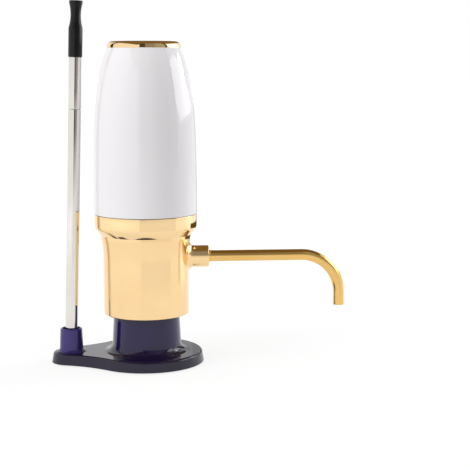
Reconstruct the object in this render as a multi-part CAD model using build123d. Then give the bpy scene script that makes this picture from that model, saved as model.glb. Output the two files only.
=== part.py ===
from build123d import *
import math
import os

# Electric wine aerator on its storage stand: a battery pump unit with a curved spout,
# and a telescopic dip tube kept upright in a socket beside it.
# Millimetres, +Z up, origin on the underside of the stand at the post's axis, spout towards +X.

# Clearances and overruns
overrun = 1.0
loose_gap = 0.3
seam_gap = 0.2
sliding_gap = 0.06
press_gap = 0.02

# Stand: plate and post in one moulding, with the tube's socket pressed in
base_top_height = 6.7
base_lobe_radius = 33.9
base_draft_deg = 10.0
base_edge_round = 1.6
socket_offset = 44.6
socket_lobe_radius = 11.6
waist_curve_radius = 66.0
pad_thickness = 1.2
pad_proud = 0.5
pad_margin = 3.0
post_radius = 19.4
post_foot_spread = 0.9
post_flare_radius = 5.5
post_shoulder_drop = 12.0
post_shoulder_step = 4.6
post_mouth_round = 0.8
post_height = 50.0
mouth_wall = 4.4
mouth_bore_depth = 34.0
core_wall = 2.4
core_roof_drop = 4.0
socket_height = 20.5
socket_wall = 1.3
socket_play = 1.125
socket_foot_spread = 0.5
socket_flare_radius = 2.0
socket_edge_thickness = 0.2
socket_rim_round = 0.9
socket_floor_height = 3.0

# Dip tube: it leans in its loose socket
tube_lean_deg = 1.8
tube_radius = 3.7
tube_wall = 0.4
tube_length = 146.3
tube_neck_length = 3.0
inner_tube_gap = 0.2
inner_tube_wall = 0.4
inner_tube_rise = 9.0
tube_sleeve_length = 29.6
slide_bush_length = 4.0
slide_bush_spigot = 4.0
slide_bush_wall = 0.9
adapter_wall = 0.95
adapter_straight_length = 18.5
adapter_draw_length = 6.5
adapter_draw_depth = 1.1
adapter_flare_length = 5.3
adapter_rim_length = 1.7
adapter_rim_inset = 0.2
adapter_edge_round = 0.5
adapter_socket_depth = 19.0
adapter_bore_radius = 1.8
adapter_mouth_bore_radius = 2.6
adapter_mouth_depth = 4.5

# Lower body: plated sleeve that drops over the bottle's neck, with the spout's boss
sleeve_wall = 1.6
sleeve_foot_drop = 20.85
sleeve_foot_round = 0.7
sleeve_flare_height = 14.5
sleeve_flare_out = 1.3
sleeve_band_height = 5.5
sleeve_over_block = 13.0
boss_radius = 6.4
boss_length = 11.9
boss_fillet_radius = 3.0
boss_edge_round = 0.4

# Collar between sleeve and cover
collar_overhang = 5.0
collar_wall = 1.6
collar_band_height = 6.8
collar_round_radius = 3.5
collar_round_deg = 45.0
collar_tuck = 4.0
collar_shelf_thickness = 1.6
collar_shelf_width = 4.0

# Neck guide and stopper
guide_entry_rise = 1.5
guide_wall = 3.45
guide_lift = 1.2
guide_chamfer = 1.5
guide_wall_gap = 0.05
stopper_flange_thickness = 3.0
stopper_flange_overlap = 2.2
stopper_gap = 1.2
stopper_taper = 0.6
stopper_length = 17.0
stopper_ring_count = 3
stopper_ring_gap = 0.5
stopper_ring_width = 1.8
stopper_ring_pitch = 5.0
air_way_offset = 6.2
air_way_radius = 1.0
nipple_radius = 3.0
nipple_bore_radius = 1.8
nipple_stem_length = 7.5
nipple_barb_radius = 3.3
nipple_barb_length = 2.4
nipple_barb_count = 2
nipple_flange_radius = 4.4
nipple_flange_thickness = 1.5
nipple_seat_depth = 5.0

# Flow block: turns the wine from the dip tube into the spout
block_flange_thickness = 3.5
block_height = 14.0
block_core_radius = 11.0
block_arm_radius = 5.2
block_arm_inset = 0.85
block_column_radius = 3.2
spout_rise = 9.5
spout_seat_reach = 14.0
valve_pocket_depth = 6.0
valve_pocket_radius = 2.6
valve_length = 3.5
valve_lip_thickness = 0.8
valve_body_radius = 1.8
valve_tip_radius = 0.6
air_hose_bore_radius = 1.3
outlet_spigot_radius = 1.25
outlet_bore_radius = 0.7
outlet_spigot_length = 3.5

# Spout
spout_radius = 3.3
spout_wall = 0.6
spout_reach = 115.0
spout_bend_radius = 22.75
spout_drop = 30.5
ferrule_wall = 0.35
ferrule_length = 0.9
seal_ring_width = 1.8
seal_ring_thickness = 1.0
seal_ring_inset = 4.0

# Diaphragm pump
pump_overhang = 1.5
pump_lift = 2.5
pump_head_thickness = 3.0
valve_plate_thickness = 2.0
chamber_count = 3
chamber_ring_radius = 7.3
chamber_radius = 4.0
chamber_top_radius = 2.6
chamber_height = 2.7
membrane_thickness = 1.0
port_radius = 0.7
port_spread_deg = 18.0
nub_radius = 1.1
nub_height = 2.4
rocker_thickness = 1.4
rocker_arm_radius = 2.6
rocker_hub_radius = 2.7
rocker_hub_drop = 2.3
pivot_inset = 0.9
rocker_swing_deg = 3.0
drive_pin_radius = 0.6
drive_pin_offset = 0.8
eccentric_radius = 5.0
eccentric_gap = 1.0
eccentric_thickness = 2.3
shaft_seat_depth = 0.8
pump_wall = 1.3
pump_roof_gap = 0.4
pump_roof_thickness = 1.5

# Motor
motor_radius = 12.0
motor_length = 24.5
motor_edge_round = 1.2
motor_boss_radius = 3.1
motor_shaft_radius = 1.0
motor_cap_thickness = 2.0
motor_cap_inset = 0.8

# Chassis
chassis_ledge_thickness = 1.5
chassis_ledge_width = 2.6
chassis_wall = 1.6
chassis_flange_thickness = 2.5
chassis_ring_gap = 0.4
chassis_ring_wall = 1.6
chassis_ring_height = 10.0
chassis_deck_thickness = 2.5
chassis_deck_gap = 0.5
chassis_rib_count = 4
chassis_rib_thickness = 2.0
chassis_rib_foot_inset = 1.1
chassis_rib_shoulder = 8.0
chassis_window_width = 10.0
chassis_window_margin = 4.0
chassis_leg_radius = 2.8
screw_inset = 4.35
screw_radius = 1.2
screw_head_radius = 2.3
screw_head_height = 1.6
screw_bite = 9.0
cover_seal_proud = 0.15
cover_seal_depth = 0.9
cover_seal_width = 1.6
cover_seal_lift = 7.0

# Batteries, six in a ring
cell_count = 6
cell_radius = 5.25
cell_length = 44.5
cell_nub_radius = 2.75
cell_nub_length = 1.0
cell_edge_round = 0.5
cell_circle_radius = 13.0
holder_rim_width = 2.25
holder_plate_thickness = 2.0
holder_core_gap = 0.35
holder_core_wall = 2.0
holder_rib_thickness = 1.4
holder_rib_inner_radius = 15.4
contact_height = 1.5
contact_thickness = 0.5
contact_width = 7.0
contact_dimple_radius = 2.2
contact_dimple_tip_radius = 1.4
wire_radius = 0.7
wire_spacing = 4.0

# Switch on its board
board_radius = 16.0
board_thickness = 1.6
board_standoff_height = 2.0
board_standoff_radius = 2.0
board_standoff_circle_radius = 13.0
board_flat_offset = 14.5
switch_width = 8.0
switch_height = 3.8
switch_floor = 1.3
plunger_radius = 2.0
plunger_length = 2.5
plunger_proud = 1.1

# Battery cover, cap ring and button
cover_overhang = 0.3
cover_wall = 1.8
cover_lip_thickness = 1.8
cover_height_shares = (0.0, 0.202, 0.4215, 0.6036, 0.712, 0.7845, 0.857, 0.928, 1.0)
cover_bulge_shares = (1.0, 0.978, 0.933, 0.843, 0.719, 0.607, 0.461, 0.27, 0.0)
cap_width = 6.8
cap_height = 3.8
cap_round_radius = 2.8
cap_spigot_wall = 1.3
button_radius = 14.3
button_travel = 1.2
button_top_inset = 0.15
button_dish_depth = 0.5
button_edge_round = 0.5
button_wall = 1.7
button_roof_thickness = 2.2
button_flange_width = 1.1
button_flange_thickness = 1.8
button_stem_radius = 2.8
button_stem_reach = 1.4
button_cup_wall = 1.4
button_cup_gap = 0.8
button_cup_spare = 2.0
spring_radius = 6.0
spring_wire_radius = 0.45
spring_turns = 4

# Levels worked out from the sizes above, from the stand upwards
pad_plate_bottom = pad_proud
mouth_floor_height = post_height - mouth_bore_depth
post_shoulder_height = post_height - post_shoulder_drop
post_cone_top = post_shoulder_height + post_shoulder_step
core_roof_height = post_shoulder_height - core_roof_drop
sleeve_foot_height = post_height - sleeve_foot_drop
guide_entry_height = post_shoulder_height + guide_entry_rise
stopper_bottom = post_height - stopper_length
nipple_tip_height = stopper_bottom - nipple_flange_thickness - nipple_stem_length
block_bottom = post_height + stopper_flange_thickness
block_top = block_bottom + block_height
spout_height = block_bottom + spout_rise
sleeve_top_height = block_top + sleeve_over_block
sleeve_flare_top = sleeve_top_height - sleeve_band_height
sleeve_flare_start = sleeve_flare_top - sleeve_flare_height
pump_bottom = block_top + pump_lift
valve_plate_bottom = pump_bottom + pump_head_thickness
membrane_bottom = valve_plate_bottom + valve_plate_thickness
membrane_top = membrane_bottom + membrane_thickness
rocker_bottom = membrane_top + chamber_height
rocker_top = rocker_bottom + rocker_thickness
pivot_height = rocker_bottom - rocker_hub_drop + pivot_inset
eccentric_bottom = rocker_top + eccentric_gap
eccentric_top = eccentric_bottom + eccentric_thickness
pump_roof_bottom = eccentric_top + pump_roof_gap
motor_bottom = pump_roof_bottom + pump_roof_thickness
motor_top = motor_bottom + motor_length
motor_cap_top = motor_top + motor_cap_thickness
chassis_bottom = pump_bottom - chassis_ledge_thickness
chassis_flange_bottom = sleeve_top_height + collar_shelf_thickness
chassis_flange_top = chassis_flange_bottom + chassis_flange_thickness
chassis_deck_bottom = motor_cap_top + chassis_deck_gap
holder_bottom = chassis_deck_bottom + chassis_deck_thickness
lower_contact_bottom = holder_bottom + holder_plate_thickness
cell_bottom = lower_contact_bottom + contact_height
cell_top = cell_bottom + cell_length
holder_top_plate_bottom = cell_top + contact_height
holder_top = holder_top_plate_bottom + holder_plate_thickness
board_bottom = holder_top + board_standoff_height
board_top = board_bottom + board_thickness
switch_top = board_top + switch_height
plunger_top = switch_top + plunger_proud
button_stem_bottom = plunger_top + loose_gap
button_cup_bottom = button_stem_bottom + button_stem_reach
button_cup_floor = button_cup_bottom + button_cup_wall
cover_lip_bottom = button_cup_floor + button_cup_spare + button_travel + button_flange_thickness
cover_top_height = cover_lip_bottom + cover_lip_thickness
cap_top = cover_top_height + cap_height
button_top = cap_top - button_top_inset
button_roof_bottom = button_top - button_roof_thickness
collar_lip_height = sleeve_top_height - collar_tuck
collar_round_height = chassis_flange_bottom
collar_top = collar_round_height + collar_band_height
cover_foot_height = collar_top + seam_gap

# Radii worked out from what each piece holds or fits, from the post outwards
post_foot_radius = post_radius + post_foot_spread
post_mouth_radius = post_radius - post_shoulder_step
mouth_bore_radius = post_mouth_radius - mouth_wall
stopper_flange_radius = post_mouth_radius + stopper_flange_overlap
stopper_top_radius = mouth_bore_radius - stopper_gap
stopper_tip_radius = stopper_top_radius - stopper_taper
stopper_ring_radius = mouth_bore_radius - stopper_ring_gap
guide_bore_radius = post_radius + loose_gap + seam_gap
guide_mouth_radius = post_mouth_radius + loose_gap + seam_gap
guide_outer_radius = guide_bore_radius + guide_wall
sleeve_inner_radius = guide_outer_radius + guide_wall_gap
sleeve_radius = sleeve_inner_radius + sleeve_wall
sleeve_top_radius = sleeve_radius + sleeve_flare_out
sleeve_flare_radius = (sleeve_flare_height**2 + sleeve_flare_out**2) / (2 * sleeve_flare_out)
boss_reach = sleeve_radius + boss_length
block_arm_reach = guide_outer_radius - block_arm_inset
screw_circle_radius = guide_outer_radius - screw_inset
collar_radius = sleeve_radius + collar_overhang
collar_lip_radius = sleeve_top_radius + loose_gap
cover_radius = collar_radius + cover_overhang
chassis_ring_radius = cover_radius - cover_wall - chassis_ring_gap
chassis_rib_foot_radius = chassis_ring_radius - chassis_rib_foot_inset
cover_seal_radius = chassis_ring_radius + cover_seal_proud
pump_radius = motor_radius + pump_overhang
motor_cap_radius = motor_radius - motor_cap_inset
chassis_bore_radius = pump_radius + loose_gap + seam_gap
chassis_tube_radius = chassis_bore_radius + chassis_wall
holder_radius = cell_circle_radius + cell_radius + holder_rim_width
holder_core_radius = cell_circle_radius - cell_radius - holder_core_gap
holder_core_bore_radius = holder_core_radius - holder_core_wall
button_flange_radius = button_radius + button_flange_width
button_cup_radius = button_flange_radius + button_cup_gap + button_cup_wall
button_bore_radius = button_radius - button_wall
cap_bore_radius = button_radius + loose_gap
cap_spigot_radius = cap_bore_radius + cap_spigot_wall
cap_radius = cap_bore_radius + cap_width
spout_bore_radius = spout_radius - spout_wall
ferrule_radius = spout_radius + ferrule_wall

# Sizes of the dip tube, its adapter and its socket
tube_bore_radius = tube_radius - tube_wall
inner_tube_radius = tube_bore_radius - inner_tube_gap
inner_tube_bore_radius = inner_tube_radius - inner_tube_wall
adapter_radius = inner_tube_radius + adapter_wall
adapter_waist_radius = adapter_radius - adapter_draw_depth
adapter_mouth_radius = adapter_radius - adapter_rim_inset
adapter_waist_height = adapter_straight_length + adapter_draw_length
adapter_mouth_height = adapter_waist_height + adapter_flare_length
adapter_length = adapter_mouth_height + adapter_rim_length
socket_bore_depth = socket_height - socket_floor_height
socket_lean_play = math.tan(math.radians(tube_lean_deg)) * socket_bore_depth / 2
socket_bore_radius = tube_radius + socket_play + socket_lean_play
socket_rim_radius = socket_bore_radius + socket_wall
socket_foot_radius = socket_rim_radius + socket_foot_spread
tube_foot_lift = math.sin(math.radians(tube_lean_deg)) * tube_radius

UPRIGHT = (Align.CENTER, Align.CENTER, Align.MIN)
OUTWARD = (Align.MIN, Align.CENTER, Align.MIN)


def outline(*points):
    """Straight edges through the points and back to the first."""
    return Polyline(*points, close=True).edges()


def turned(*edges):
    """Revolves a closed outline, drawn as (radius, height), about the upright axis."""
    return revolve(Plane.XZ * make_face(edges), Axis.Z)


def ring(outer_radius, inner_radius, bottom, top):
    """Upright tube between two heights."""
    corners = ((inner_radius, bottom), (outer_radius, bottom), (outer_radius, top), (inner_radius, top))
    return turned(*outline(*corners))


def rod(radius, bottom, top, x=0, y=0):
    """Upright cylinder between two heights, its axis at x, y."""
    return Pos(x, y, bottom) * Cylinder(radius, top - bottom, align=UPRIGHT)


def level_rod(radius, start, end, height):
    """Level cylinder along X between two distances from the axis."""
    return Pos(start, 0, height) * Rot(0, 90, 0) * Cylinder(radius, end - start, align=UPRIGHT)


def around(shape, count, first_deg=0.0):
    """Copies of a shape spread evenly about the upright axis."""
    return [Rot(0, 0, first_deg + 360 / count * index) * shape for index in range(count)]


def lobed_plate(margin):
    """The stand's outline: a large and a small lobe joined by two hollow arcs, drawn in by a margin."""
    large = base_lobe_radius - margin
    small = socket_lobe_radius - margin
    hollow = waist_curve_radius + margin
    to_large = large + hollow
    to_small = small + hollow
    along = (to_large**2 - to_small**2 + socket_offset**2) / (2 * socket_offset)
    aside = math.sqrt(to_large**2 - along**2)
    large_joint = Vector(-along, aside) * (large / to_large)
    small_joint = Vector(-socket_offset, 0) + Vector(socket_offset - along, aside) * (small / to_small)
    hollow_centre = Vector(-along, aside)
    inward = (large_joint + small_joint - hollow_centre * 2).normalized()
    hollow_middle = hollow_centre + inward * hollow
    lower = [Vector(point.X, -point.Y) for point in (large_joint, hollow_middle, small_joint)]
    return make_face(
        [
            ThreePointArc(lower[0], (large, 0), large_joint),
            ThreePointArc(large_joint, hollow_middle, small_joint),
            ThreePointArc(small_joint, (-socket_offset - small, 0), lower[2]),
            ThreePointArc(lower[2], lower[1], lower[0]),
        ]
    )


def stand():
    """Base plate and bottle-mouth post, moulded in one, hollow under the post."""
    plate_height = base_top_height - pad_plate_bottom
    plate = Pos(0, 0, pad_plate_bottom) * extrude(lobed_plate(0), plate_height, taper=base_draft_deg)
    plate = fillet(plate.edges().group_by(Axis.Z)[-1], base_edge_round)
    flare_top = base_top_height + post_flare_radius
    post = turned(
        Line((0, pad_plate_bottom), (post_foot_radius + post_flare_radius, pad_plate_bottom)),
        Line((post_foot_radius + post_flare_radius, pad_plate_bottom),
             (post_foot_radius + post_flare_radius, base_top_height)),
        RadiusArc((post_foot_radius + post_flare_radius, base_top_height),
                  (post_foot_radius, flare_top), post_flare_radius),
        Line((post_foot_radius, flare_top), (post_radius, sleeve_foot_height)),
        Line((post_radius, sleeve_foot_height), (post_radius, post_shoulder_height)),
        Line((post_radius, post_shoulder_height), (post_mouth_radius, post_cone_top)),
        Line((post_mouth_radius, post_cone_top), (post_mouth_radius, post_height)),
        Line((post_mouth_radius, post_height), (0, post_height)),
        Line((0, post_height), (0, pad_plate_bottom)),
    )
    post = fillet(post.edges().group_by(Axis.Z)[-1], post_mouth_round)
    body = plate + post
    body -= rod(mouth_bore_radius, mouth_floor_height, post_height + overrun)
    body -= rod(socket_rim_radius + press_gap, 0, base_top_height + overrun, -socket_offset)
    body -= ring(post_radius - core_wall, mouth_bore_radius + core_wall, 0, core_roof_height)
    pad_recess = extrude(lobed_plate(pad_margin - seam_gap), pad_thickness)
    return body - pad_recess


def tube_socket():
    """Cup for the dip tube: its spigot is pressed into the plate, its flared foot stands on it."""
    foot_edge = socket_foot_radius + socket_flare_radius
    flare_bottom = base_top_height + socket_edge_thickness
    flare_top = flare_bottom + socket_flare_radius
    cup = turned(
        Line((0, pad_thickness), (socket_rim_radius, pad_thickness)),
        Line((socket_rim_radius, pad_thickness), (socket_rim_radius, base_top_height)),
        Line((socket_rim_radius, base_top_height), (foot_edge, base_top_height)),
        Line((foot_edge, base_top_height), (foot_edge, flare_bottom)),
        RadiusArc((foot_edge, flare_bottom), (socket_foot_radius, flare_top), socket_flare_radius),
        Line((socket_foot_radius, flare_top), (socket_rim_radius, socket_height)),
        Line((socket_rim_radius, socket_height), (0, socket_height)),
        Line((0, socket_height), (0, pad_thickness)),
    )
    cup = fillet(cup.edges().group_by(Axis.Z)[-1], socket_rim_round)
    cup -= rod(socket_bore_radius, socket_floor_height, socket_height + overrun)
    return Pos(-socket_offset, 0, 0) * cup


def stand_pad():
    """Non-slip rubber pad let into the stand's underside."""
    return extrude(lobed_plate(pad_margin), pad_thickness)


def leaning(shape):
    """Leans a piece of the dip tube, drawn upright on its own axis, in the socket."""
    lean = Rot(0, tube_lean_deg, 0)
    middle = socket_bore_depth / 2
    rest = socket_floor_height + tube_foot_lift
    return Pos(-socket_offset, 0, rest + middle) * lean * Pos(0, 0, -middle) * shape


def outer_tube():
    """Steel dip tube, drawn in at its upper end so that the inner tube slides without play."""
    neck = tube_length - tube_neck_length
    bore = rod(tube_bore_radius, -overrun, neck)
    bore += rod(inner_tube_radius + sliding_gap, -overrun, tube_length + overrun)
    return leaning(rod(tube_radius, 0, tube_length) - bore)


def inner_tube():
    """Thin steel tube that slides in the dip tube and carries the adapter."""
    top = tube_length + tube_sleeve_length + adapter_socket_depth - press_gap
    return leaning(ring(inner_tube_radius, inner_tube_bore_radius, inner_tube_rise, top))


def tube_sleeve():
    """Steel sleeve on the inner tube, as wide as the outer tube, that stops on its end."""
    top = tube_length + tube_sleeve_length
    return leaning(ring(tube_radius, inner_tube_radius + press_gap, tube_length, top))


def slide_bush():
    """Plastic bush pushed into the inner tube's lower end, running in the outer tube."""
    bore_radius = inner_tube_bore_radius - slide_bush_wall
    bottom = inner_tube_rise - slide_bush_length
    spigot_top = inner_tube_rise + slide_bush_spigot
    bush = ring(tube_bore_radius - sliding_gap, bore_radius, bottom, inner_tube_rise)
    bush += ring(inner_tube_bore_radius - press_gap, bore_radius, inner_tube_rise, spigot_top)
    return leaning(bush)


def tube_adapter():
    """Silicone adapter that joins the dip tube to the nipple: plain barrel, drawn waist, flared mouth."""
    barrel = adapter_straight_length
    waist = adapter_waist_height
    mouth = adapter_mouth_height
    skin = Spline(
        (adapter_radius, barrel),
        (adapter_waist_radius, waist),
        (adapter_mouth_radius, mouth),
        tangents=((0, 1), (0, 1), (0, 1)),
    )
    body = turned(
        Line((0, 0), (adapter_radius, 0)),
        Line((adapter_radius, 0), (adapter_radius, barrel)),
        skin,
        Line((adapter_mouth_radius, mouth), (adapter_mouth_radius, adapter_length)),
        Line((adapter_mouth_radius, adapter_length), (0, adapter_length)),
        Line((0, adapter_length), (0, 0)),
    )
    body = fillet(body.edges().group_by(Axis.Z)[-1] + body.edges().group_by(Axis.Z)[0], adapter_edge_round)
    body -= rod(inner_tube_radius + press_gap, -overrun, adapter_socket_depth)
    body -= rod(adapter_bore_radius, 0, adapter_length)
    body -= rod(adapter_mouth_bore_radius, adapter_length - adapter_mouth_depth, adapter_length + overrun)
    return leaning(Pos(0, 0, tube_length + tube_sleeve_length) * body)


def lower_body():
    """Plated sleeve over the bottle's neck, flared under the collar, with the spout's boss faired into it."""
    sleeve = turned(
        Line((0, sleeve_foot_height), (sleeve_radius, sleeve_foot_height)),
        Line((sleeve_radius, sleeve_foot_height), (sleeve_radius, sleeve_flare_start)),
        RadiusArc((sleeve_radius, sleeve_flare_start), (sleeve_top_radius, sleeve_flare_top),
                  -sleeve_flare_radius),
        Line((sleeve_top_radius, sleeve_flare_top), (sleeve_top_radius, sleeve_top_height)),
        Line((sleeve_top_radius, sleeve_top_height), (0, sleeve_top_height)),
        Line((0, sleeve_top_height), (0, sleeve_foot_height)),
    )
    sleeve = fillet(sleeve.edges().group_by(Axis.Z)[0], sleeve_foot_round)
    boss = level_rod(boss_radius, 0, boss_reach, spout_height)
    joined = sleeve + boss
    joined = fillet(new_edges(sleeve, boss, combined=joined), boss_fillet_radius)
    joined = fillet(joined.edges().filter_by(GeomType.CIRCLE).sort_by(Axis.X)[-1], boss_edge_round)
    joined -= rod(sleeve_inner_radius, sleeve_foot_height - overrun, sleeve_top_height + overrun)
    return joined - level_rod(spout_radius + sliding_gap, 0, boss_reach + overrun, spout_height)


def collar():
    """Plated ring between sleeve and cover: rounded belly, tucked lip and an inner shelf."""
    turn = math.radians(collar_round_deg)
    centre = collar_radius - collar_round_radius
    round_end = (centre + collar_round_radius * math.cos(turn),
                 collar_round_height - collar_round_radius * math.sin(turn))
    inner = collar_radius - collar_wall
    shelf_top = chassis_flange_bottom
    return turned(
        Line((collar_lip_radius, collar_lip_height), round_end),
        RadiusArc(round_end, (collar_radius, collar_round_height), -collar_round_radius),
        Line((collar_radius, collar_round_height), (collar_radius, collar_top)),
        Line((collar_radius, collar_top), (inner, collar_top)),
        Line((inner, collar_top), (inner, shelf_top)),
        Line((inner, shelf_top), (inner - collar_shelf_width, shelf_top)),
        Line((inner - collar_shelf_width, shelf_top), (inner - collar_shelf_width, sleeve_top_height)),
        Line((inner - collar_shelf_width, sleeve_top_height), (collar_lip_radius, sleeve_top_height)),
        Line((collar_lip_radius, sleeve_top_height), (collar_lip_radius, collar_lip_height)),
    )


def neck_guide():
    """Plastic liner that centres a bottle's neck and holds the stopper's flange."""
    bottom = sleeve_foot_height + guide_lift
    cone_top = guide_entry_height + guide_bore_radius - guide_mouth_radius
    recess = stopper_flange_radius + seam_gap
    return turned(
        *outline(
            (guide_bore_radius + guide_chamfer, bottom),
            (guide_outer_radius, bottom),
            (guide_outer_radius, block_bottom),
            (recess, block_bottom),
            (recess, post_height),
            (guide_mouth_radius, post_height),
            (guide_mouth_radius, cone_top),
            (guide_bore_radius, guide_entry_height),
            (guide_bore_radius, bottom + guide_chamfer),
        )
    )


def bottle_stopper():
    """Rubber stopper: flange that seats on the mouth, tapered plug with sealing rings, two ways through."""
    plug = turned(
        *outline(
            (0, stopper_bottom),
            (stopper_tip_radius, stopper_bottom),
            (stopper_top_radius, post_height),
            (stopper_flange_radius, post_height),
            (stopper_flange_radius, block_bottom),
            (0, block_bottom),
        )
    )
    for index in range(stopper_ring_count):
        middle = stopper_bottom + stopper_ring_pitch * (index + 1) - stopper_ring_width
        half = stopper_ring_width / 2
        bead = turned(
            *outline(
                (0, middle - half),
                (stopper_tip_radius, middle - half),
                (stopper_ring_radius, middle),
                (stopper_tip_radius, middle + half),
                (0, middle + half),
            )
        )
        plug += bead
    plug -= rod(nipple_radius + press_gap, stopper_bottom - overrun, block_bottom + overrun)
    return plug - rod(air_way_radius, stopper_bottom - overrun, block_bottom + overrun, -air_way_offset)


def dip_tube_nipple():
    """Barbed nipple that clamps the stopper and takes the dip tube's adapter."""
    top = block_bottom + nipple_seat_depth
    nipple = rod(nipple_radius, nipple_tip_height, top)
    nipple += rod(nipple_flange_radius, stopper_bottom - nipple_flange_thickness, stopper_bottom)
    for index in range(nipple_barb_count):
        barb_bottom = nipple_tip_height + nipple_barb_length * index
        barb = outline(
            (0, barb_bottom),
            (nipple_radius, barb_bottom),
            (nipple_barb_radius, barb_bottom + nipple_barb_length / 2),
            (nipple_radius, barb_bottom + nipple_barb_length),
            (0, barb_bottom + nipple_barb_length),
        )
        nipple += turned(*barb)
    return nipple - rod(nipple_bore_radius, nipple_tip_height - overrun, top + overrun)


def flow_block():
    """Manifold: wine way from the nipple up and out to the spout, air way with its valve pocket."""
    flange_top = block_bottom + block_flange_thickness
    block = rod(guide_outer_radius, block_bottom, flange_top)
    block += rod(block_core_radius, block_bottom, block_top)
    block += level_rod(block_arm_radius, 0, block_arm_reach, spout_height)
    column = rod(block_column_radius, block_bottom, block_top, screw_circle_radius)
    block += around(column, chassis_rib_count, 180 / chassis_rib_count)
    below = block_bottom - overrun
    above = block_top + overrun
    pocket_top = block_bottom + screw_head_height + seam_gap
    screw_hole = rod(screw_radius + press_gap, below, above, screw_circle_radius)
    head_pocket = rod(screw_head_radius + seam_gap, below, pocket_top, screw_circle_radius)
    block -= around(screw_hole + head_pocket, chassis_rib_count, 180 / chassis_rib_count)
    block -= rod(nipple_radius + press_gap, below, block_bottom + nipple_seat_depth)
    block -= rod(nipple_bore_radius, block_bottom, spout_height)
    block -= level_rod(nipple_bore_radius, -nipple_bore_radius, spout_seat_reach + overrun, spout_height)
    block -= level_rod(spout_radius + press_gap, spout_seat_reach, block_arm_reach + overrun, spout_height)
    groove_start = spout_seat_reach + seal_ring_inset - press_gap
    groove_end = groove_start + seal_ring_width + 2 * press_gap
    groove_radius = spout_radius + seal_ring_thickness + press_gap
    block -= level_rod(groove_radius, groove_start, groove_end, spout_height)
    block -= rod(air_way_radius, below, block_top, -air_way_offset)
    return block - rod(valve_pocket_radius, block_top - valve_pocket_depth, above, -air_way_offset)


def air_check_valve():
    """Rubber duckbill valve that lets air down into the bottle and keeps wine out of the pump."""
    bottom = block_top - valve_pocket_depth
    top = bottom + valve_length
    lip = valve_pocket_radius - press_gap
    bill = turned(
        *outline(
            (0, bottom),
            (valve_tip_radius, bottom),
            (valve_body_radius, top - valve_lip_thickness),
            (lip, top - valve_lip_thickness),
            (lip, top),
            (0, top),
        )
    )
    return Pos(-air_way_offset, 0, 0) * bill


def air_hose():
    """Short silicone hose from the pump's outlet spigot down to the check valve."""
    bottom = block_top - valve_pocket_depth + valve_length
    hose = ring(valve_pocket_radius - press_gap, air_hose_bore_radius, bottom, pump_bottom)
    return Pos(-air_way_offset, 0, 0) * hose


def spout_route():
    """Spout's centre line: level out of the boss, one bend, straight down."""
    level_end = spout_reach - spout_bend_radius
    drop_start = spout_height - spout_bend_radius
    tip_height = spout_height - spout_drop
    level = Line((spout_seat_reach, 0, spout_height), (level_end, 0, spout_height))
    bend = RadiusArc((level_end, spout_height), (spout_reach, drop_start), spout_bend_radius)
    drop = Line((spout_reach, 0, drop_start), (spout_reach, 0, tip_height))
    return level + Plane.XZ * bend + drop


def spout_tube():
    """Bent metal spout, one tube swept along its centre line."""
    start = Plane((spout_seat_reach, 0, spout_height), z_dir=(1, 0, 0))
    wall = Circle(spout_radius) - Circle(spout_bore_radius)
    return sweep(start * wall, path=spout_route())


def spout_ferrule():
    """Thin ring that closes the joint between boss and spout."""
    outer = level_rod(ferrule_radius, boss_reach, boss_reach + ferrule_length, spout_height)
    return outer - level_rod(spout_radius + press_gap, 0, boss_reach + ferrule_length + overrun, spout_height)


def spout_seal():
    """O-ring on the spout's inner end."""
    start = spout_seat_reach + seal_ring_inset
    end = start + seal_ring_width
    outer = level_rod(spout_radius + seal_ring_thickness, start, end, spout_height)
    return outer - level_rod(spout_radius + press_gap, start - overrun, end + overrun, spout_height)


def pump_head():
    """Pump's lower cover with the outlet spigot and the intake hole."""
    head = rod(pump_radius, pump_bottom, valve_plate_bottom)
    head += rod(outlet_spigot_radius, pump_bottom - outlet_spigot_length, pump_bottom, -air_way_offset)
    way_bottom = pump_bottom - outlet_spigot_length - overrun
    head -= rod(outlet_bore_radius, way_bottom, valve_plate_bottom + overrun, -air_way_offset)
    return head - rod(outlet_bore_radius, way_bottom, valve_plate_bottom + overrun, air_way_offset)


def valve_plate():
    """Plate between head and diaphragm, with an intake and an outlet port for each chamber."""
    plate = rod(pump_radius, valve_plate_bottom, membrane_bottom)
    port = rod(port_radius, valve_plate_bottom - overrun, membrane_bottom + overrun, chamber_ring_radius)
    for side in (-port_spread_deg, port_spread_deg):
        plate -= around(port, chamber_count, side)
    return plate


def pump_diaphragm():
    """Rubber diaphragm: sheet with three hollow cups, each with the nub that the rocker pulls."""
    sheet = rod(pump_radius, membrane_bottom, membrane_top)
    cup = outline(
        (0, membrane_bottom),
        (chamber_radius, membrane_bottom),
        (chamber_radius, membrane_top),
        (chamber_top_radius, rocker_bottom),
        (nub_radius, rocker_bottom),
        (nub_radius, rocker_bottom + nub_height),
        (0, rocker_bottom + nub_height),
    )
    hollow = outline(
        (0, membrane_bottom - overrun),
        (chamber_radius - membrane_thickness, membrane_bottom - overrun),
        (chamber_radius - membrane_thickness, membrane_top),
        (chamber_top_radius - membrane_thickness, rocker_bottom - membrane_thickness),
        (0, rocker_bottom - membrane_thickness),
    )
    sheet += around(Pos(chamber_ring_radius, 0, 0) * turned(*cup), chamber_count)
    return sheet - around(Pos(chamber_ring_radius, 0, 0) * turned(*hollow), chamber_count)


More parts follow.
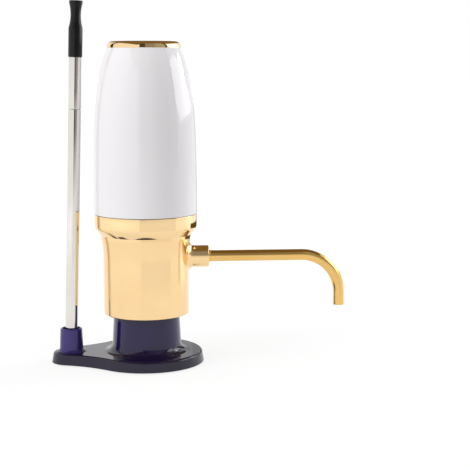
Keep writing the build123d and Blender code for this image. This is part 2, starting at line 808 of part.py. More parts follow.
def rocker():
    """Three-armed rocker: its arms take the nubs, its hub the end of the slanted drive pin."""
    arm = Pos(chamber_ring_radius / 2, 0, rocker_bottom) * extrude(
        SlotCenterToCenter(chamber_ring_radius, 2 * rocker_arm_radius), rocker_thickness
    )
    hub_bottom = rocker_bottom - rocker_hub_drop
    body = rod(rocker_hub_radius, hub_bottom, rocker_top) + around(arm, chamber_count)
    hole_bottom = rocker_bottom - overrun
    nub_hole = rod(nub_radius + sliding_gap, hole_bottom, rocker_top + overrun, chamber_ring_radius)
    body -= around(nub_hole, chamber_count)
    pin_slope = drive_pin_offset / (eccentric_bottom - pivot_height)
    swing = math.tan(math.radians(rocker_swing_deg))
    rise = rocker_top - pivot_height
    throat = drive_pin_radius + sliding_gap + swing * drive_pin_radius
    mouth = throat + rise * (pin_slope + swing)
    swept = turned(
        *outline(
            (0, pivot_height - drive_pin_radius),
            (throat, pivot_height - drive_pin_radius),
            (throat, pivot_height),
            (mouth, rocker_top),
            (mouth, rocker_top + overrun),
            (0, rocker_top + overrun),
        )
    )
    return body - swept


def drive_pin():
    """Steel pin set aslant in the eccentric: its top circles while its lower end stays on the axis."""
    rise = eccentric_bottom - pivot_height
    slant = math.atan2(drive_pin_offset, rise)
    length = rise / math.cos(slant) + drive_pin_radius
    pin = Cylinder(drive_pin_radius, length, align=UPRIGHT)
    return Pos(0, 0, pivot_height) * Rot(0, math.degrees(slant), 0) * pin


def motor_shaft():
    """Motor shaft, from the eccentric to the end cap's bearing."""
    return rod(motor_shaft_radius, eccentric_top - shaft_seat_depth, motor_cap_top)


def eccentric():
    """Drive disc on the motor shaft that carries the slanted pin."""
    disc = rod(eccentric_radius, eccentric_bottom, eccentric_top)
    disc -= rod(motor_shaft_radius + press_gap, eccentric_top - shaft_seat_depth, eccentric_top + overrun)
    rise = eccentric_bottom - pivot_height
    slant = math.atan2(drive_pin_offset, rise)
    length = rise / math.cos(slant) + drive_pin_radius + press_gap
    seat = Pos(0, 0, pivot_height) * Rot(0, math.degrees(slant), 0) * Cylinder(
        drive_pin_radius + press_gap, length, align=UPRIGHT
    )
    return disc - seat


def pump_housing():
    """Pump's upper housing, round the rocker and eccentric, with the motor's seat on its roof."""
    inner = pump_radius - pump_wall
    return turned(
        *outline(
            (inner, membrane_top),
            (pump_radius, membrane_top),
            (pump_radius, motor_bottom),
            (motor_boss_radius + press_gap, motor_bottom),
            (motor_boss_radius + press_gap, pump_roof_bottom),
            (inner, pump_roof_bottom),
        )
    )


def motor_can():
    """Small direct-current motor: rounded can with the front bearing boss."""
    can = rod(motor_radius, motor_bottom, motor_top)
    can = fillet(can.edges().group_by(Axis.Z)[0], motor_edge_round)
    can += rod(motor_boss_radius, pump_roof_bottom, motor_bottom + motor_edge_round)
    return can - rod(motor_shaft_radius + sliding_gap, pump_roof_bottom - overrun, motor_top + overrun)


def motor_end_cap():
    """Plastic end cap of the motor with the rear bearing."""
    return ring(motor_cap_radius, motor_shaft_radius + sliding_gap, motor_top, motor_cap_top)


def chassis():
    """Inner frame: windowed pump tube, flange and ring for the cover, ribs, battery deck, legs."""
    deck_top = chassis_deck_bottom + chassis_deck_thickness
    frame = ring(chassis_tube_radius, chassis_bore_radius, chassis_bottom, deck_top)
    ledge_radius = chassis_bore_radius - chassis_ledge_width
    frame += ring(chassis_bore_radius, ledge_radius, chassis_bottom, pump_bottom)
    frame += ring(chassis_ring_radius, chassis_bore_radius, chassis_flange_bottom, chassis_flange_top)
    ring_inner = chassis_ring_radius - chassis_ring_wall
    ring_top = chassis_flange_top + chassis_ring_height
    frame += ring(chassis_ring_radius, ring_inner, chassis_flange_bottom, ring_top)
    frame += ring(holder_radius, holder_core_bore_radius, chassis_deck_bottom, deck_top)
    rib = outline(
        (chassis_bore_radius + chassis_wall / 2, chassis_flange_bottom),
        (chassis_rib_foot_radius, chassis_flange_bottom),
        (chassis_rib_foot_radius, chassis_flange_top + chassis_rib_shoulder),
        (holder_radius, chassis_deck_bottom),
        (holder_radius, deck_top),
        (chassis_bore_radius + chassis_wall / 2, deck_top),
    )
    rib = extrude(Plane.XZ * make_face(rib), chassis_rib_thickness / 2, both=True)
    frame += around(rib, chassis_rib_count, 180 / chassis_rib_count)
    leg = rod(chassis_leg_radius, block_top, chassis_flange_bottom, screw_circle_radius)
    frame += around(leg, chassis_rib_count, 180 / chassis_rib_count)
    window_bottom = chassis_flange_top + chassis_window_margin
    window_height = chassis_deck_bottom - chassis_window_margin - window_bottom
    window_reach = chassis_tube_radius + overrun
    window = Pos(0, 0, window_bottom) * Box(window_reach, chassis_window_width, window_height, align=OUTWARD)
    frame -= around(window, chassis_rib_count)
    seal_bottom = chassis_flange_bottom + cover_seal_lift
    groove = cover_seal_radius - cover_seal_depth - press_gap
    frame -= ring(chassis_ring_radius + overrun, groove, seal_bottom - press_gap,
                  seal_bottom + cover_seal_width + press_gap)
    screw_hole = rod(screw_radius + press_gap, block_top - overrun, block_top + screw_bite + press_gap,
                     screw_circle_radius)
    return frame - around(screw_hole, chassis_rib_count, 180 / chassis_rib_count)


def chassis_screws():
    """Pan-head screws that clamp flow block and chassis together."""
    screw = rod(screw_head_radius, block_bottom, block_bottom + screw_head_height, screw_circle_radius)
    screw += rod(screw_radius, block_bottom, block_top + screw_bite, screw_circle_radius)
    return around(screw, chassis_rib_count, 180 / chassis_rib_count)


def cover_seal():
    """Rubber ring round the chassis that holds and seals the battery cover."""
    bottom = chassis_flange_bottom + cover_seal_lift
    return ring(cover_seal_radius, cover_seal_radius - cover_seal_depth, bottom, bottom + cover_seal_width)


def battery_holder():
    """Cage for the cells: two plates, hollow core for the wires, ribs between cells, board standoffs."""
    cage = ring(holder_radius, holder_core_bore_radius, holder_bottom, lower_contact_bottom)
    cage += ring(holder_radius, holder_core_bore_radius, holder_top_plate_bottom, holder_top)
    cage += ring(holder_core_radius, holder_core_bore_radius, holder_bottom, holder_top)
    rib_width = holder_radius - holder_rib_inner_radius - seam_gap
    rib = Box(rib_width, holder_rib_thickness, holder_top - holder_bottom, align=OUTWARD)
    rib = Pos(holder_rib_inner_radius, 0, holder_bottom) * rib
    cage += around(rib, cell_count, 180 / cell_count)
    standoff = rod(board_standoff_radius, holder_top, board_bottom, board_standoff_circle_radius)
    cage += around(standoff, chassis_rib_count, 180 / chassis_rib_count)
    return cage


def battery_cells():
    """Six cells in a ring, every other one upside down."""
    can = rod(cell_radius, cell_bottom, cell_top - cell_nub_length)
    can = fillet(can.edges().filter_by(GeomType.CIRCLE), cell_edge_round)
    can += rod(cell_nub_radius, cell_top - cell_nub_length - cell_edge_round, cell_top)
    middle = (cell_bottom + cell_top) / 2
    turned_over = Pos(0, 0, middle) * Rot(180, 0, 0) * Pos(0, 0, -middle) * can
    cells = []
    for index in range(cell_count):
        cell = turned_over if index % 2 else can
        cells.append(Rot(0, 0, 360 / cell_count * index) * Pos(cell_circle_radius, 0, 0) * cell)
    return cells


def contact_plates(level, side, pairs, singles):
    """Sheet-metal contacts on one plate: bridges between neighbouring cells and round end contacts.
    Side is 1 where the dimples point up and -1 where they point down."""
    pitch = 2 * cell_circle_radius * math.sin(math.pi / cell_count)
    reach = cell_circle_radius * math.cos(math.pi / cell_count)
    dimple_height = contact_height - contact_thickness
    dimple = Cone(contact_dimple_radius, contact_dimple_tip_radius, dimple_height, align=UPRIGHT)
    dimple = Pos(0, 0, contact_thickness) * dimple
    bridge = extrude(Rot(0, 0, 90) * SlotCenterToCenter(pitch, contact_width), contact_thickness)
    bridge += [Pos(0, offset, 0) * dimple for offset in (-pitch / 2, pitch / 2)]
    disc = Cylinder(contact_width / 2, contact_thickness, align=UPRIGHT) + dimple
    flip = Rot(0, 0, 0) if side > 0 else Rot(180, 0, 0)
    step = 360 / cell_count
    plates = [Rot(0, 0, step * (first + 1 / 2)) * Pos(reach, 0, level) * flip * bridge for first in pairs]
    plates += [Rot(0, 0, step * index) * Pos(cell_circle_radius, 0, level) * flip * disc for index in singles]
    return plates


def lower_contacts():
    """Three bridges under the cells."""
    return contact_plates(lower_contact_bottom, 1, pairs=(0, 2, 4), singles=())


def upper_contacts():
    """Two bridges and the two end contacts over the cells."""
    return contact_plates(holder_top_plate_bottom, -1, pairs=(1, 3), singles=(0, 5))


def lead_wires():
    """Two wires from the switch board down through the holder's core to the motor."""
    return [rod(wire_radius, motor_cap_top, board_bottom, x) for x in (-wire_spacing / 2, wire_spacing / 2)]


def switch_board():
    """Round circuit board with one flat side."""
    board = rod(board_radius, board_bottom, board_top)
    trim = Box(board_radius, 2 * board_radius, board_thickness + 2 * overrun, align=OUTWARD)
    return board - Pos(board_flat_offset, 0, board_bottom - overrun) * trim


def push_switch():
    """Square push switch under the button."""
    case = Pos(0, 0, board_top) * Box(switch_width, switch_width, switch_height, align=UPRIGHT)
    return case - rod(plunger_radius + sliding_gap, board_top + switch_floor, switch_top + overrun)


def switch_plunger():
    """Plunger that the button's stem pushes into the switch."""
    return rod(plunger_radius, plunger_top - plunger_length, plunger_top)


def cover_points(thickness, top):
    """The cover's side, from foot to top, drawn in by a wall thickness and ended at a height."""
    bulge = cover_radius - cap_radius
    points = []
    for rise_share, bulge_share in zip(cover_height_shares, cover_bulge_shares):
        level = cover_foot_height + (top - cover_foot_height) * rise_share
        points.append((cap_radius + bulge * bulge_share - thickness, level))
    return points


def cover_shell():
    """Battery cover: thin domed shell, open below, with an inward lip at the top for the cap ring."""
    side = cover_points(0, cover_top_height)
    inside = cover_points(cover_wall, cover_lip_bottom)
    outer = turned(
        Line((0, side[0][1]), side[0]),
        Spline(*side),
        Line(side[-1], (0, side[-1][1])),
        Line((0, side[-1][1]), (0, side[0][1])),
    )
    hollow = turned(
        Line((0, inside[0][1] - overrun), (inside[0][0], inside[0][1] - overrun)),
        Line((inside[0][0], inside[0][1] - overrun), inside[0]),
        Spline(*inside),
        Line(inside[-1], (0, inside[-1][1])),
        Line((0, inside[-1][1]), (0, inside[0][1] - overrun)),
    )
    mouth = rod(cap_spigot_radius + press_gap, cover_lip_bottom - overrun, cover_top_height + overrun)
    return outer - hollow - mouth


def cap_ring():
    """Plated cap: ring with a rounded edge on the cover's top, its spigot through the cover's lip."""
    round_start = cap_top - cap_round_radius
    return turned(
        Line((cap_bore_radius, cover_lip_bottom), (cap_spigot_radius, cover_lip_bottom)),
        Line((cap_spigot_radius, cover_lip_bottom), (cap_spigot_radius, cover_top_height)),
        Line((cap_spigot_radius, cover_top_height), (cap_radius, cover_top_height)),
        Line((cap_radius, cover_top_height), (cap_radius, round_start)),
        RadiusArc((cap_radius, round_start), (cap_radius - cap_round_radius, cap_top), -cap_round_radius),
        Line((cap_radius - cap_round_radius, cap_top), (cap_bore_radius, cap_top)),
        Line((cap_bore_radius, cap_top), (cap_bore_radius, cover_lip_bottom)),
    )


def button_cup():
    """Cup under the cap that guides the button's stem and carries its spring."""
    inner = button_cup_radius - button_cup_wall
    return turned(
        *outline(
            (button_stem_radius + sliding_gap, button_cup_bottom),
            (button_cup_radius, button_cup_bottom),
            (button_cup_radius, cover_lip_bottom),
            (inner, cover_lip_bottom),
            (inner, button_cup_floor),
            (button_stem_radius + sliding_gap, button_cup_floor),
        )
    )


def power_button():
    """Push button flush in the cap: dished top, skirt with a stop flange, stem down to the switch."""
    flange_top = cover_lip_bottom
    flange_bottom = flange_top - button_flange_thickness
    button = turned(
        *outline(
            (button_bore_radius, flange_bottom),
            (button_flange_radius, flange_bottom),
            (button_flange_radius, flange_top),
            (button_radius, flange_top),
            (button_radius, button_top),
            (0, button_top),
            (0, button_stem_bottom),
            (button_stem_radius, button_stem_bottom),
            (button_stem_radius, button_roof_bottom),
            (button_bore_radius, button_roof_bottom),
        )
    )
    button = fillet(button.edges().group_by(Axis.Z)[-1], button_edge_round)
    dish_radius = (button_bore_radius**2 + button_dish_depth**2) / (2 * button_dish_depth)
    return button - Pos(0, 0, button_top + dish_radius - button_dish_depth) * Sphere(dish_radius)


def button_spring():
    """Return spring between the cup's floor and the button."""
    height = button_roof_bottom - button_cup_floor - 2 * spring_wire_radius
    coil = Helix(height / spring_turns, height, spring_radius)
    path = Pos(0, 0, button_cup_floor + spring_wire_radius) * coil
    return sweep(Plane(path @ 0, z_dir=path % 0) * Circle(spring_wire_radius), path=path)


NODES = (
    stand,
    tube_socket,
    stand_pad,
    outer_tube,
    inner_tube,
    tube_sleeve,
    slide_bush,
    tube_adapter,
    lower_body,
    collar,
    neck_guide,
    bottle_stopper,
    dip_tube_nipple,
    flow_block,
    air_check_valve,
    air_hose,
    spout_tube,
    spout_ferrule,
    spout_seal,
    pump_head,
    valve_plate,
    pump_diaphragm,
    rocker,
    drive_pin,
    motor_shaft,
    eccentric,
    pump_housing,
    motor_can,
    motor_end_cap,
    chassis,
    chassis_screws,
    cover_seal,
    battery_holder,
    battery_cells,
    lower_contacts,
    upper_contacts,
    lead_wires,
    switch_board,
    push_switch,
    switch_plunger,
    cover_shell,
    cap_ring,
    button_cup,
    power_button,
    button_spring,
)

os.makedirs("parts", exist_ok=True)
for piece in NODES:
    shape = piece()
    if isinstance(shape, list):
        shape = Compound(children=shape)
    export_step(shape, f"parts/{piece.__name__}.step")
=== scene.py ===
"""Visual model of an electric wine aerator on its storage stand.

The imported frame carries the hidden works. This script gives the visible shells their smooth surfaces,
dresses every piece and sets up the studio. Sizes in the classes are millimetres, as in the drawings,
and meshes are made in metres.
"""

import logging
import math
from dataclasses import dataclass
from enum import Enum

import bmesh
import bpy
import numpy as np
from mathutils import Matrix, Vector


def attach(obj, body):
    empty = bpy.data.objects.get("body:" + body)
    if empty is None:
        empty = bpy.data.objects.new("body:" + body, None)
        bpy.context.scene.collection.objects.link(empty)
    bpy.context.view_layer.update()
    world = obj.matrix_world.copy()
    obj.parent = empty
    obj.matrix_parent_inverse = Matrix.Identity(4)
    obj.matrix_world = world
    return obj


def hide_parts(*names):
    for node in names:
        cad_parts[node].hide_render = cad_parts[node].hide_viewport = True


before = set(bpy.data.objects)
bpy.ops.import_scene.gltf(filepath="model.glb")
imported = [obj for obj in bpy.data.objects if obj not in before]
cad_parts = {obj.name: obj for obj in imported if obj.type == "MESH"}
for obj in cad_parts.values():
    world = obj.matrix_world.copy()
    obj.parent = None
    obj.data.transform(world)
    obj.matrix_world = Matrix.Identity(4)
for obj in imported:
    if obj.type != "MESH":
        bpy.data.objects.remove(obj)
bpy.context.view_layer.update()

LOG = logging.getLogger("aerator")
MM = 0.001

Colour = tuple[float, float, float]
Corner = tuple[float, float, float]
Place = tuple[float, float, float]


# Curves and surfaces

def arc(centre: tuple[float, float], radius: float, first_deg: float, last_deg: float,
        steps: int) -> np.ndarray:
    """Points along a circular arc: centre + radius times (cosine, sine) of the angle.

    Args:
        centre: Arc's centre as (radius, height).
        radius: Arc's radius.
        first_deg: Angle of the first point.
        last_deg: Angle of the last point.
        steps: Number of equal runs.

    Returns:
        Array of steps + 1 points.
    """
    turn = np.radians(np.linspace(first_deg, last_deg, steps + 1))
    return np.array(centre) + radius * np.stack([np.cos(turn), np.sin(turn)], axis=-1)


def rounded(corners: list[Corner], closed: bool = True) -> np.ndarray:
    """Polyline through corners, each rounded by an arc that touches both of its sides.

    The arc's centre lies on the corner's bisector at radius / sin(half angle), and its points turn
    evenly from one touching point to the other.

    Args:
        corners: Corners as (radius, height, rounding radius), rounding 0 for a sharp one.
        closed: Whether the last corner joins the first.

    Returns:
        Array of points. A closed line repeats its first point at the end.
    """
    places = np.array([corner[:2] for corner in corners], float)
    parts = []
    for index, corner in enumerate(corners):
        here, size = places[index], corner[2]
        if size == 0.0:
            parts.append(here[None])
            continue
        to_last = places[index - 1] - here
        to_next = places[(index + 1) % len(corners)] - here
        to_last /= np.linalg.norm(to_last)
        to_next /= np.linalg.norm(to_next)
        half = math.acos(float(np.clip(to_last @ to_next, -1.0, 1.0))) / 2
        bisector = (to_last + to_next) / np.linalg.norm(to_last + to_next)
        centre = here + bisector * size / math.sin(half)
        first = (here + to_last * size / math.tan(half) - centre) / size
        last = (here + to_next * size / math.tan(half) - centre) / size
        sweep = math.pi - 2 * half
        share = np.linspace(0.0, 1.0, max(4, int(math.degrees(sweep) / 10) + 1))[:, None]
        spoke = (np.sin((1 - share) * sweep) * first + np.sin(share * sweep) * last) / math.sin(sweep)
        parts.append(centre + size * spoke)
    line = np.concatenate(parts)
    return np.concatenate([line, line[:1]]) if closed else line


def smooth_line(points: np.ndarray, steps: int) -> np.ndarray:
    """Natural cubic spline through points, by chord length, with free ends.

    Second derivatives come from the usual linear system with zero at both ends, and each span is the
    straight share of its ends plus the cubic terms of those derivatives.

    Args:
        points: Points to pass through.
        steps: Number of equal runs along the whole line.

    Returns:
        Array of steps + 1 points.
    """
    knots = np.concatenate([[0.0], np.cumsum(np.linalg.norm(np.diff(points, axis=0), axis=1))])
    gaps = np.diff(knots)
    count = len(points)
    system = np.eye(count)
    inner = np.arange(1, count - 1)
    system[inner, inner - 1] = gaps[:-1]
    system[inner, inner] = 2 * (gaps[:-1] + gaps[1:])
    system[inner, inner + 1] = gaps[1:]
    slopes = np.diff(points, axis=0) / gaps[:, None]
    right = np.zeros_like(points)
    right[1:-1] = 6 * np.diff(slopes, axis=0)
    bend = np.linalg.solve(system, right)
    along = np.linspace(0.0, knots[-1], steps + 1)
    span = np.clip(np.searchsorted(knots, along, side="right") - 1, 0, count - 2)
    gap = gaps[span][:, None]
    after = (along - knots[span])[:, None] / gap
    before = 1 - after
    cubic = ((before**3 - before) * bend[span] + (after**3 - after) * bend[span + 1]) * gap**2 / 6
    return before * points[span] + after * points[span + 1] + cubic


def turned(profile: np.ndarray, angles: np.ndarray) -> np.ndarray:
    """Surface of revolution: each profile point (r, z) goes to (r cos a, r sin a, z) for each angle a.

    Args:
        profile: Points as (radius, height).
        angles: Angles in radians.

    Returns:
        Grid of rows along the profile and columns round the axis.
    """
    radius, height = profile[:, :1], profile[:, 1:]
    flat = np.broadcast_to(height, (len(profile), len(angles)))
    return np.stack([radius * np.cos(angles), radius * np.sin(angles), flat], axis=-1)


def full_turn(count: int, first_deg: float = 0.0) -> np.ndarray:
    """Even angles in radians once round, without the last that repeats the first."""
    return math.radians(first_deg) + np.linspace(0.0, 2 * math.pi, count, endpoint=False)


def quads_of(index: np.ndarray) -> np.ndarray:
    """Quads between neighbouring points of a grid of point numbers."""
    return np.stack([index[:-1, :-1], index[:-1, 1:], index[1:, 1:], index[1:, :-1]], axis=-1)


def linked(name: str, data: bpy.types.ID) -> bpy.types.Object:
    """Makes an object at the origin and links it to the scene.

    Args:
        name: Name of the object.
        data: Its mesh, lamp or camera.

    Returns:
        The new object.
    """
    made = bpy.data.objects.new(name, data)
    bpy.context.scene.collection.objects.link(made)
    return made


@dataclass(frozen=True)
class Block:
    """Block of cells left out of a grid, where a patch with a hole in it goes.

    Attributes:
        rows: First and last row of points.
        columns: First and last column of points.
    """

    rows: tuple[int, int]
    columns: tuple[int, int]

    def border(self, grid: np.ndarray) -> np.ndarray:
        """Values of a grid once round the block's edge.

        Args:
            grid: Grid of points or of their coordinates on the surface.

        Returns:
            Array of the values, each corner once.
        """
        low, high = self.rows
        left, right = self.columns
        sides = (
            grid[low, left:right],
            grid[low:high, right],
            grid[high, right:left:-1],
            grid[high:low:-1, left],
        )
        return np.concatenate(sides)


class Skin:
    """One closed mesh sewn from point grids that meet edge to edge."""

    SEAM = 1e-6

    def __init__(self) -> None:
        """Starts with no points."""
        self._points: list[np.ndarray] = []
        self._quads: list[np.ndarray] = []
        self._count = 0

    def add(self, grid: np.ndarray, block: Block | None = None) -> "Skin":
        """Adds a grid whose last column joins its first, as quads between neighbouring points.

        Args:
            grid: Rows by columns by 3, in millimetres.
            block: Cells to leave out.

        Returns:
            The skin itself.
        """
        rows, columns = grid.shape[:2]
        index = np.arange(rows * columns).reshape(rows, columns) + self._count
        index = np.concatenate([index, index[:, :1]], axis=1)
        quads = quads_of(index)
        keep = np.ones(quads.shape[:2], bool)
        if block is not None:
            keep[block.rows[0]:block.rows[1], block.columns[0]:block.columns[1]] = False
        self._quads.append(quads[keep])
        self._points.append(grid.reshape(-1, 3))
        self._count += rows * columns
        return self

    def piece(self, name: str, sharp_deg: float = 32.0) -> bpy.types.Object:
        """Sews the grids into one object at the origin, faces outwards.

        Args:
            name: Name of the piece.
            sharp_deg: Angle above which an edge is shaded sharp.

        Returns:
            The new object, linked to the scene.
        """
        mesh = bpy.data.meshes.new(name)
        points = np.concatenate(self._points) * MM
        mesh.from_pydata(points.tolist(), [], np.concatenate(self._quads).tolist())
        work = bmesh.new()
        work.from_mesh(mesh)
        bmesh.ops.remove_doubles(work, verts=work.verts, dist=self.SEAM)
        bmesh.ops.recalc_face_normals(work, faces=work.faces)
        work.to_mesh(mesh)
        work.free()
        mesh.shade_smooth()
        mesh.set_sharp_from_angle(angle=math.radians(sharp_deg))
        return linked(name, mesh)


# Finishes

class Graph:
    """Node tree of one material, with short calls that add a node and join it up."""

    def __init__(self, name: str) -> None:
        """Makes a material that holds only its shader and output.

        Args:
            name: Name of the material.
        """
        self.material = bpy.data.materials.new(name)
        self.material.use_nodes = True
        self.nodes = self.material.node_tree.nodes
        self.links = self.material.node_tree.links
        self.shader = self.nodes["Principled BSDF"]

    def put(self, **sockets: float | Colour) -> None:
        """Sets plain values on the shader, sockets named with underscores for spaces."""
        for name, value in sockets.items():
            socket = self.shader.inputs[name.replace("_", " ")]
            socket.default_value = (*value, 1.0) if isinstance(value, tuple) and len(value) == 3 else value

    def feed(self, socket: str, source: bpy.types.NodeSocket) -> None:
        """Joins a node's output to the shader."""
        self.links.new(source, self.shader.inputs[socket])

    def place(self, scale: Place = (1.0, 1.0, 1.0)) -> bpy.types.NodeSocket:
        """Object coordinates, stretched.

        Args:
            scale: Stretch along each axis.

        Returns:
            The vector output.
        """
        coordinates = self.nodes.new("ShaderNodeTexCoord")
        mapping = self.nodes.new("ShaderNodeMapping")
        mapping.inputs["Scale"].default_value = scale
        self.links.new(coordinates.outputs["Object"], mapping.inputs["Vector"])
        return mapping.outputs["Vector"]

    def noise(self, scale: float, detail: float = 3.0, stretch: Place = (1.0, 1.0, 1.0),
              rough: float = 0.5) -> bpy.types.NodeSocket:
        """Cloudy noise over the piece.

        Args:
            scale: Number of clouds in a metre.
            detail: Number of finer layers.
            stretch: Stretch along each axis.
            rough: Weight of the finer layers.

        Returns:
            The value output, about 0 to 1.
        """
        texture = self.nodes.new("ShaderNodeTexNoise")
        texture.inputs["Scale"].default_value = scale
        texture.inputs["Detail"].default_value = detail
        texture.inputs["Roughness"].default_value = rough
        self.links.new(self.place(stretch), texture.inputs["Vector"])
        return texture.outputs["Fac"]

    def cells(self, scale: float) -> bpy.types.NodeSocket:
        """Distance to the nearest of scattered points, for grain and specks.

        Args:
            scale: Number of points in a metre.

        Returns:
            The distance output.
        """
        texture = self.nodes.new("ShaderNodeTexVoronoi")
        texture.inputs["Scale"].default_value = scale
        self.links.new(self.place(), texture.inputs["Vector"])
        return texture.outputs["Distance"]

    def spread(self, source: bpy.types.NodeSocket, low: float, high: float,
               first: float = 0.3, last: float = 0.7) -> bpy.types.NodeSocket:
        """Maps a value from first..last to low..high.

        Args:
            source: Value to map.
            low: Result at first.
            high: Result at last.
            first: Start of the range read.
            last: End of the range read.

        Returns:
            The mapped value.
        """
        node = self.nodes.new("ShaderNodeMapRange")
        for name, value in (("From Min", first), ("From Max", last), ("To Min", low), ("To Max", high)):
            node.inputs[name].default_value = value
        self.links.new(source, node.inputs["Value"])
        return node.outputs["Result"]

    def blend(self, share: bpy.types.NodeSocket, first: Colour, last: Colour) -> bpy.types.NodeSocket:
        """Mixes two colours by a share.

        Args:
            share: 0 for the first colour, 1 for the last.
            first: First colour.
            last: Last colour.

        Returns:
            The mixed colour.
        """
        node = self.nodes.new("ShaderNodeMix")
        node.data_type = "RGBA"
        node.inputs["A"].default_value = (*first, 1.0)
        node.inputs["B"].default_value = (*last, 1.0)
        self.links.new(share, node.inputs["Factor"])
        return node.outputs["Result"]

    def combine(self, kind: str, first: bpy.types.NodeSocket,
                last: bpy.types.NodeSocket | float) -> bpy.types.NodeSocket:
        """Arithmetic on two values.

        Args:
            kind: Name of the operation.
            first: First value.
            last: Second value.

        Returns:
            The result.
        """
        node = self.nodes.new("ShaderNodeMath")
        node.operation = kind
        self.links.new(first, node.inputs[0])
        if isinstance(last, (int, float)):
            node.inputs[1].default_value = last
        else:
            self.links.new(last, node.inputs[1])
        return node.outputs[0]

    def bump(self, height: bpy.types.NodeSocket, depth_mm: float, strength: float = 1.0,
             over: bpy.types.NodeSocket | None = None) -> bpy.types.NodeSocket:
        """Turns a height into a bent normal.

        Args:
            height: Height from 0 to 1.
            depth_mm: What a height of 1 stands for.
            strength: How much of it shows.
            over: A normal already bent, to add to.

        Returns:
            The normal.
        """
        node = self.nodes.new("ShaderNodeBump")
        node.inputs["Strength"].default_value = strength
        node.inputs["Distance"].default_value = depth_mm * MM
        self.links.new(height, node.inputs["Height"])
        if over is not None:
            self.links.new(over, node.inputs["Normal"])
        return node.outputs["Normal"]

    def along(self, axis: str) -> bpy.types.NodeSocket:
        """One object coordinate in metres."""
        node = self.nodes.new("ShaderNodeSeparateXYZ")
        self.links.new(self.place(), node.inputs[0])
        return node.outputs[axis]

    def gloss(self, sheen: float, coat: float, level: float) -> None:
        """Gives a glossy plastic wiping marks in its roughness, a faint orange peel and a clear coat.

        Args:
            sheen: Middle roughness.
            coat: Weight of the clear coat.
            level: Strength of the plastic's own reflection.
        """
        marks = self.noise(210.0, 5.0, (1.0, 1.0, 0.3), 0.65)
        self.feed("Roughness", self.spread(marks, sheen * 0.8, sheen * 1.35))
        peel = self.bump(self.noise(520.0, 1.5), 0.006, 0.3)
        self.feed("Normal", self.bump(self.noise(30.0, 0.0), 0.05, 0.15, peel))
        self.put(Coat_Weight=coat, Coat_Roughness=0.03, Specular_IOR_Level=level)


@dataclass(frozen=True)
class PlatedMetal:
    """Plated or polished metal with faint handling marks.

    Attributes:
        name: Name of the finish.
        colour: Colour of the metal.
        worn: Colour where the plating has dulled a little.
        sheen_low: Lowest roughness.
        sheen_high: Highest roughness.
        scratch: Strength of the fine polishing lines.
    """

    name: str
    colour: Colour
    worn: Colour
    sheen_low: float
    sheen_high: float
    scratch: float = 0.12

    def material(self) -> bpy.types.Material:
        """Builds the material: cloudy colour and roughness, fine lines round the axis and soft waviness."""
        graph = Graph(self.name)
        clouds = graph.noise(45.0, 4.0)
        dulled = graph.spread(clouds, 0.0, 1.0, 0.4, 0.75)
        graph.feed("Base Color", graph.blend(dulled, self.colour, self.worn))
        smears = graph.noise(160.0, 5.0, (1.0, 1.0, 0.35), 0.6)
        graph.feed("Roughness", graph.spread(smears, self.sheen_low, self.sheen_high))
        lines = graph.noise(400.0, 3.0, (1.0, 1.0, 14.0))
        graph.feed("Normal", graph.bump(lines, 0.001, self.scratch))
        graph.put(Metallic=1.0)
        return graph.material


@dataclass(frozen=True)
class GlossPlastic:
    """Glossy moulded plastic under a clear coat.

    Attributes:
        name: Name of the finish.
        colour: Colour of the plastic.
        shade: Colour of its slightly darker clouds.
        sheen: Middle roughness.
        coat: Weight of the clear coat.
        gloss: Strength of the plastic's own reflection.
    """

    name: str
    colour: Colour
    shade: Colour
    sheen: float
    coat: float
    gloss: float = 0.5

    def material(self) -> bpy.types.Material:
        """Builds the material: flow clouds, wiping marks in the roughness and a faint orange-peel bump."""
        graph = Graph(self.name)
        clouds = graph.noise(22.0, 2.0)
        graph.feed("Base Color", graph.blend(clouds, self.colour, self.shade))
        graph.gloss(self.sheen, self.coat, self.gloss)
        return graph.material


@dataclass(frozen=True)
class TintedPlastic:
    """Glossy tinted plastic with painted light: clearer violet painted higher up for light shining through
    it, and painted shade, nearly black, at the foot.

    Attributes:
        name: Name of the finish.
        lit_colour: Colour painted higher up, standing in for light shining through the plastic.
        dark_colour: Colour painted at the foot, as painted shade.
        dark_to_mm: Height up to which the painted shade holds.
        lit_from_mm: Height from which the painted light holds.
        sheen: Middle roughness.
    """

    name: str
    lit_colour: Colour
    dark_colour: Colour
    dark_to_mm: float
    lit_from_mm: float
    sheen: float

    def material(self) -> bpy.types.Material:
        """Builds the material: painted light and shade by height, with flow clouds, wiping marks and a faint
        orange peel.
        """
        graph = Graph(self.name)
        # Painted light: the colour runs from painted shade at the foot to clearer violet higher up, standing
        # in for light shining through the plastic.
        wall = graph.spread(graph.along("Z"), 0.0, 1.0, self.dark_to_mm * MM, self.lit_from_mm * MM)
        clear = graph.combine("MULTIPLY", wall, graph.spread(graph.noise(22.0, 2.0), 0.82, 1.0))
        graph.feed("Base Color", graph.blend(clear, self.dark_colour, self.lit_colour))
        graph.gloss(self.sheen, 0.1, 0.4)
        return graph.material


@dataclass(frozen=True)
class MouldedPlastic:
    """Satin moulded plastic of the inner parts.

    Attributes:
        name: Name of the finish.
        colour: Colour of the plastic.
        shade: Colour of its flow marks.
        sheen: Middle roughness.
        grain_mm: Depth of the mould's grain.
    """

    name: str
    colour: Colour
    shade: Colour
    sheen: float = 0.42
    grain_mm: float = 0.02

    def material(self) -> bpy.types.Material:
        """Builds the material: stretched flow marks, uneven sheen and fine grain."""
        graph = Graph(self.name)
        flow = graph.noise(60.0, 4.0, (1.0, 1.0, 0.25))
        graph.feed("Base Color", graph.blend(graph.spread(flow, 0.0, 1.0), self.colour, self.shade))
        graph.feed("Roughness", graph.spread(graph.noise(300.0, 4.0), self.sheen * 0.8, self.sheen * 1.25))
        graph.feed("Normal", graph.bump(graph.cells(2200.0), self.grain_mm, 0.5))
        return graph.material


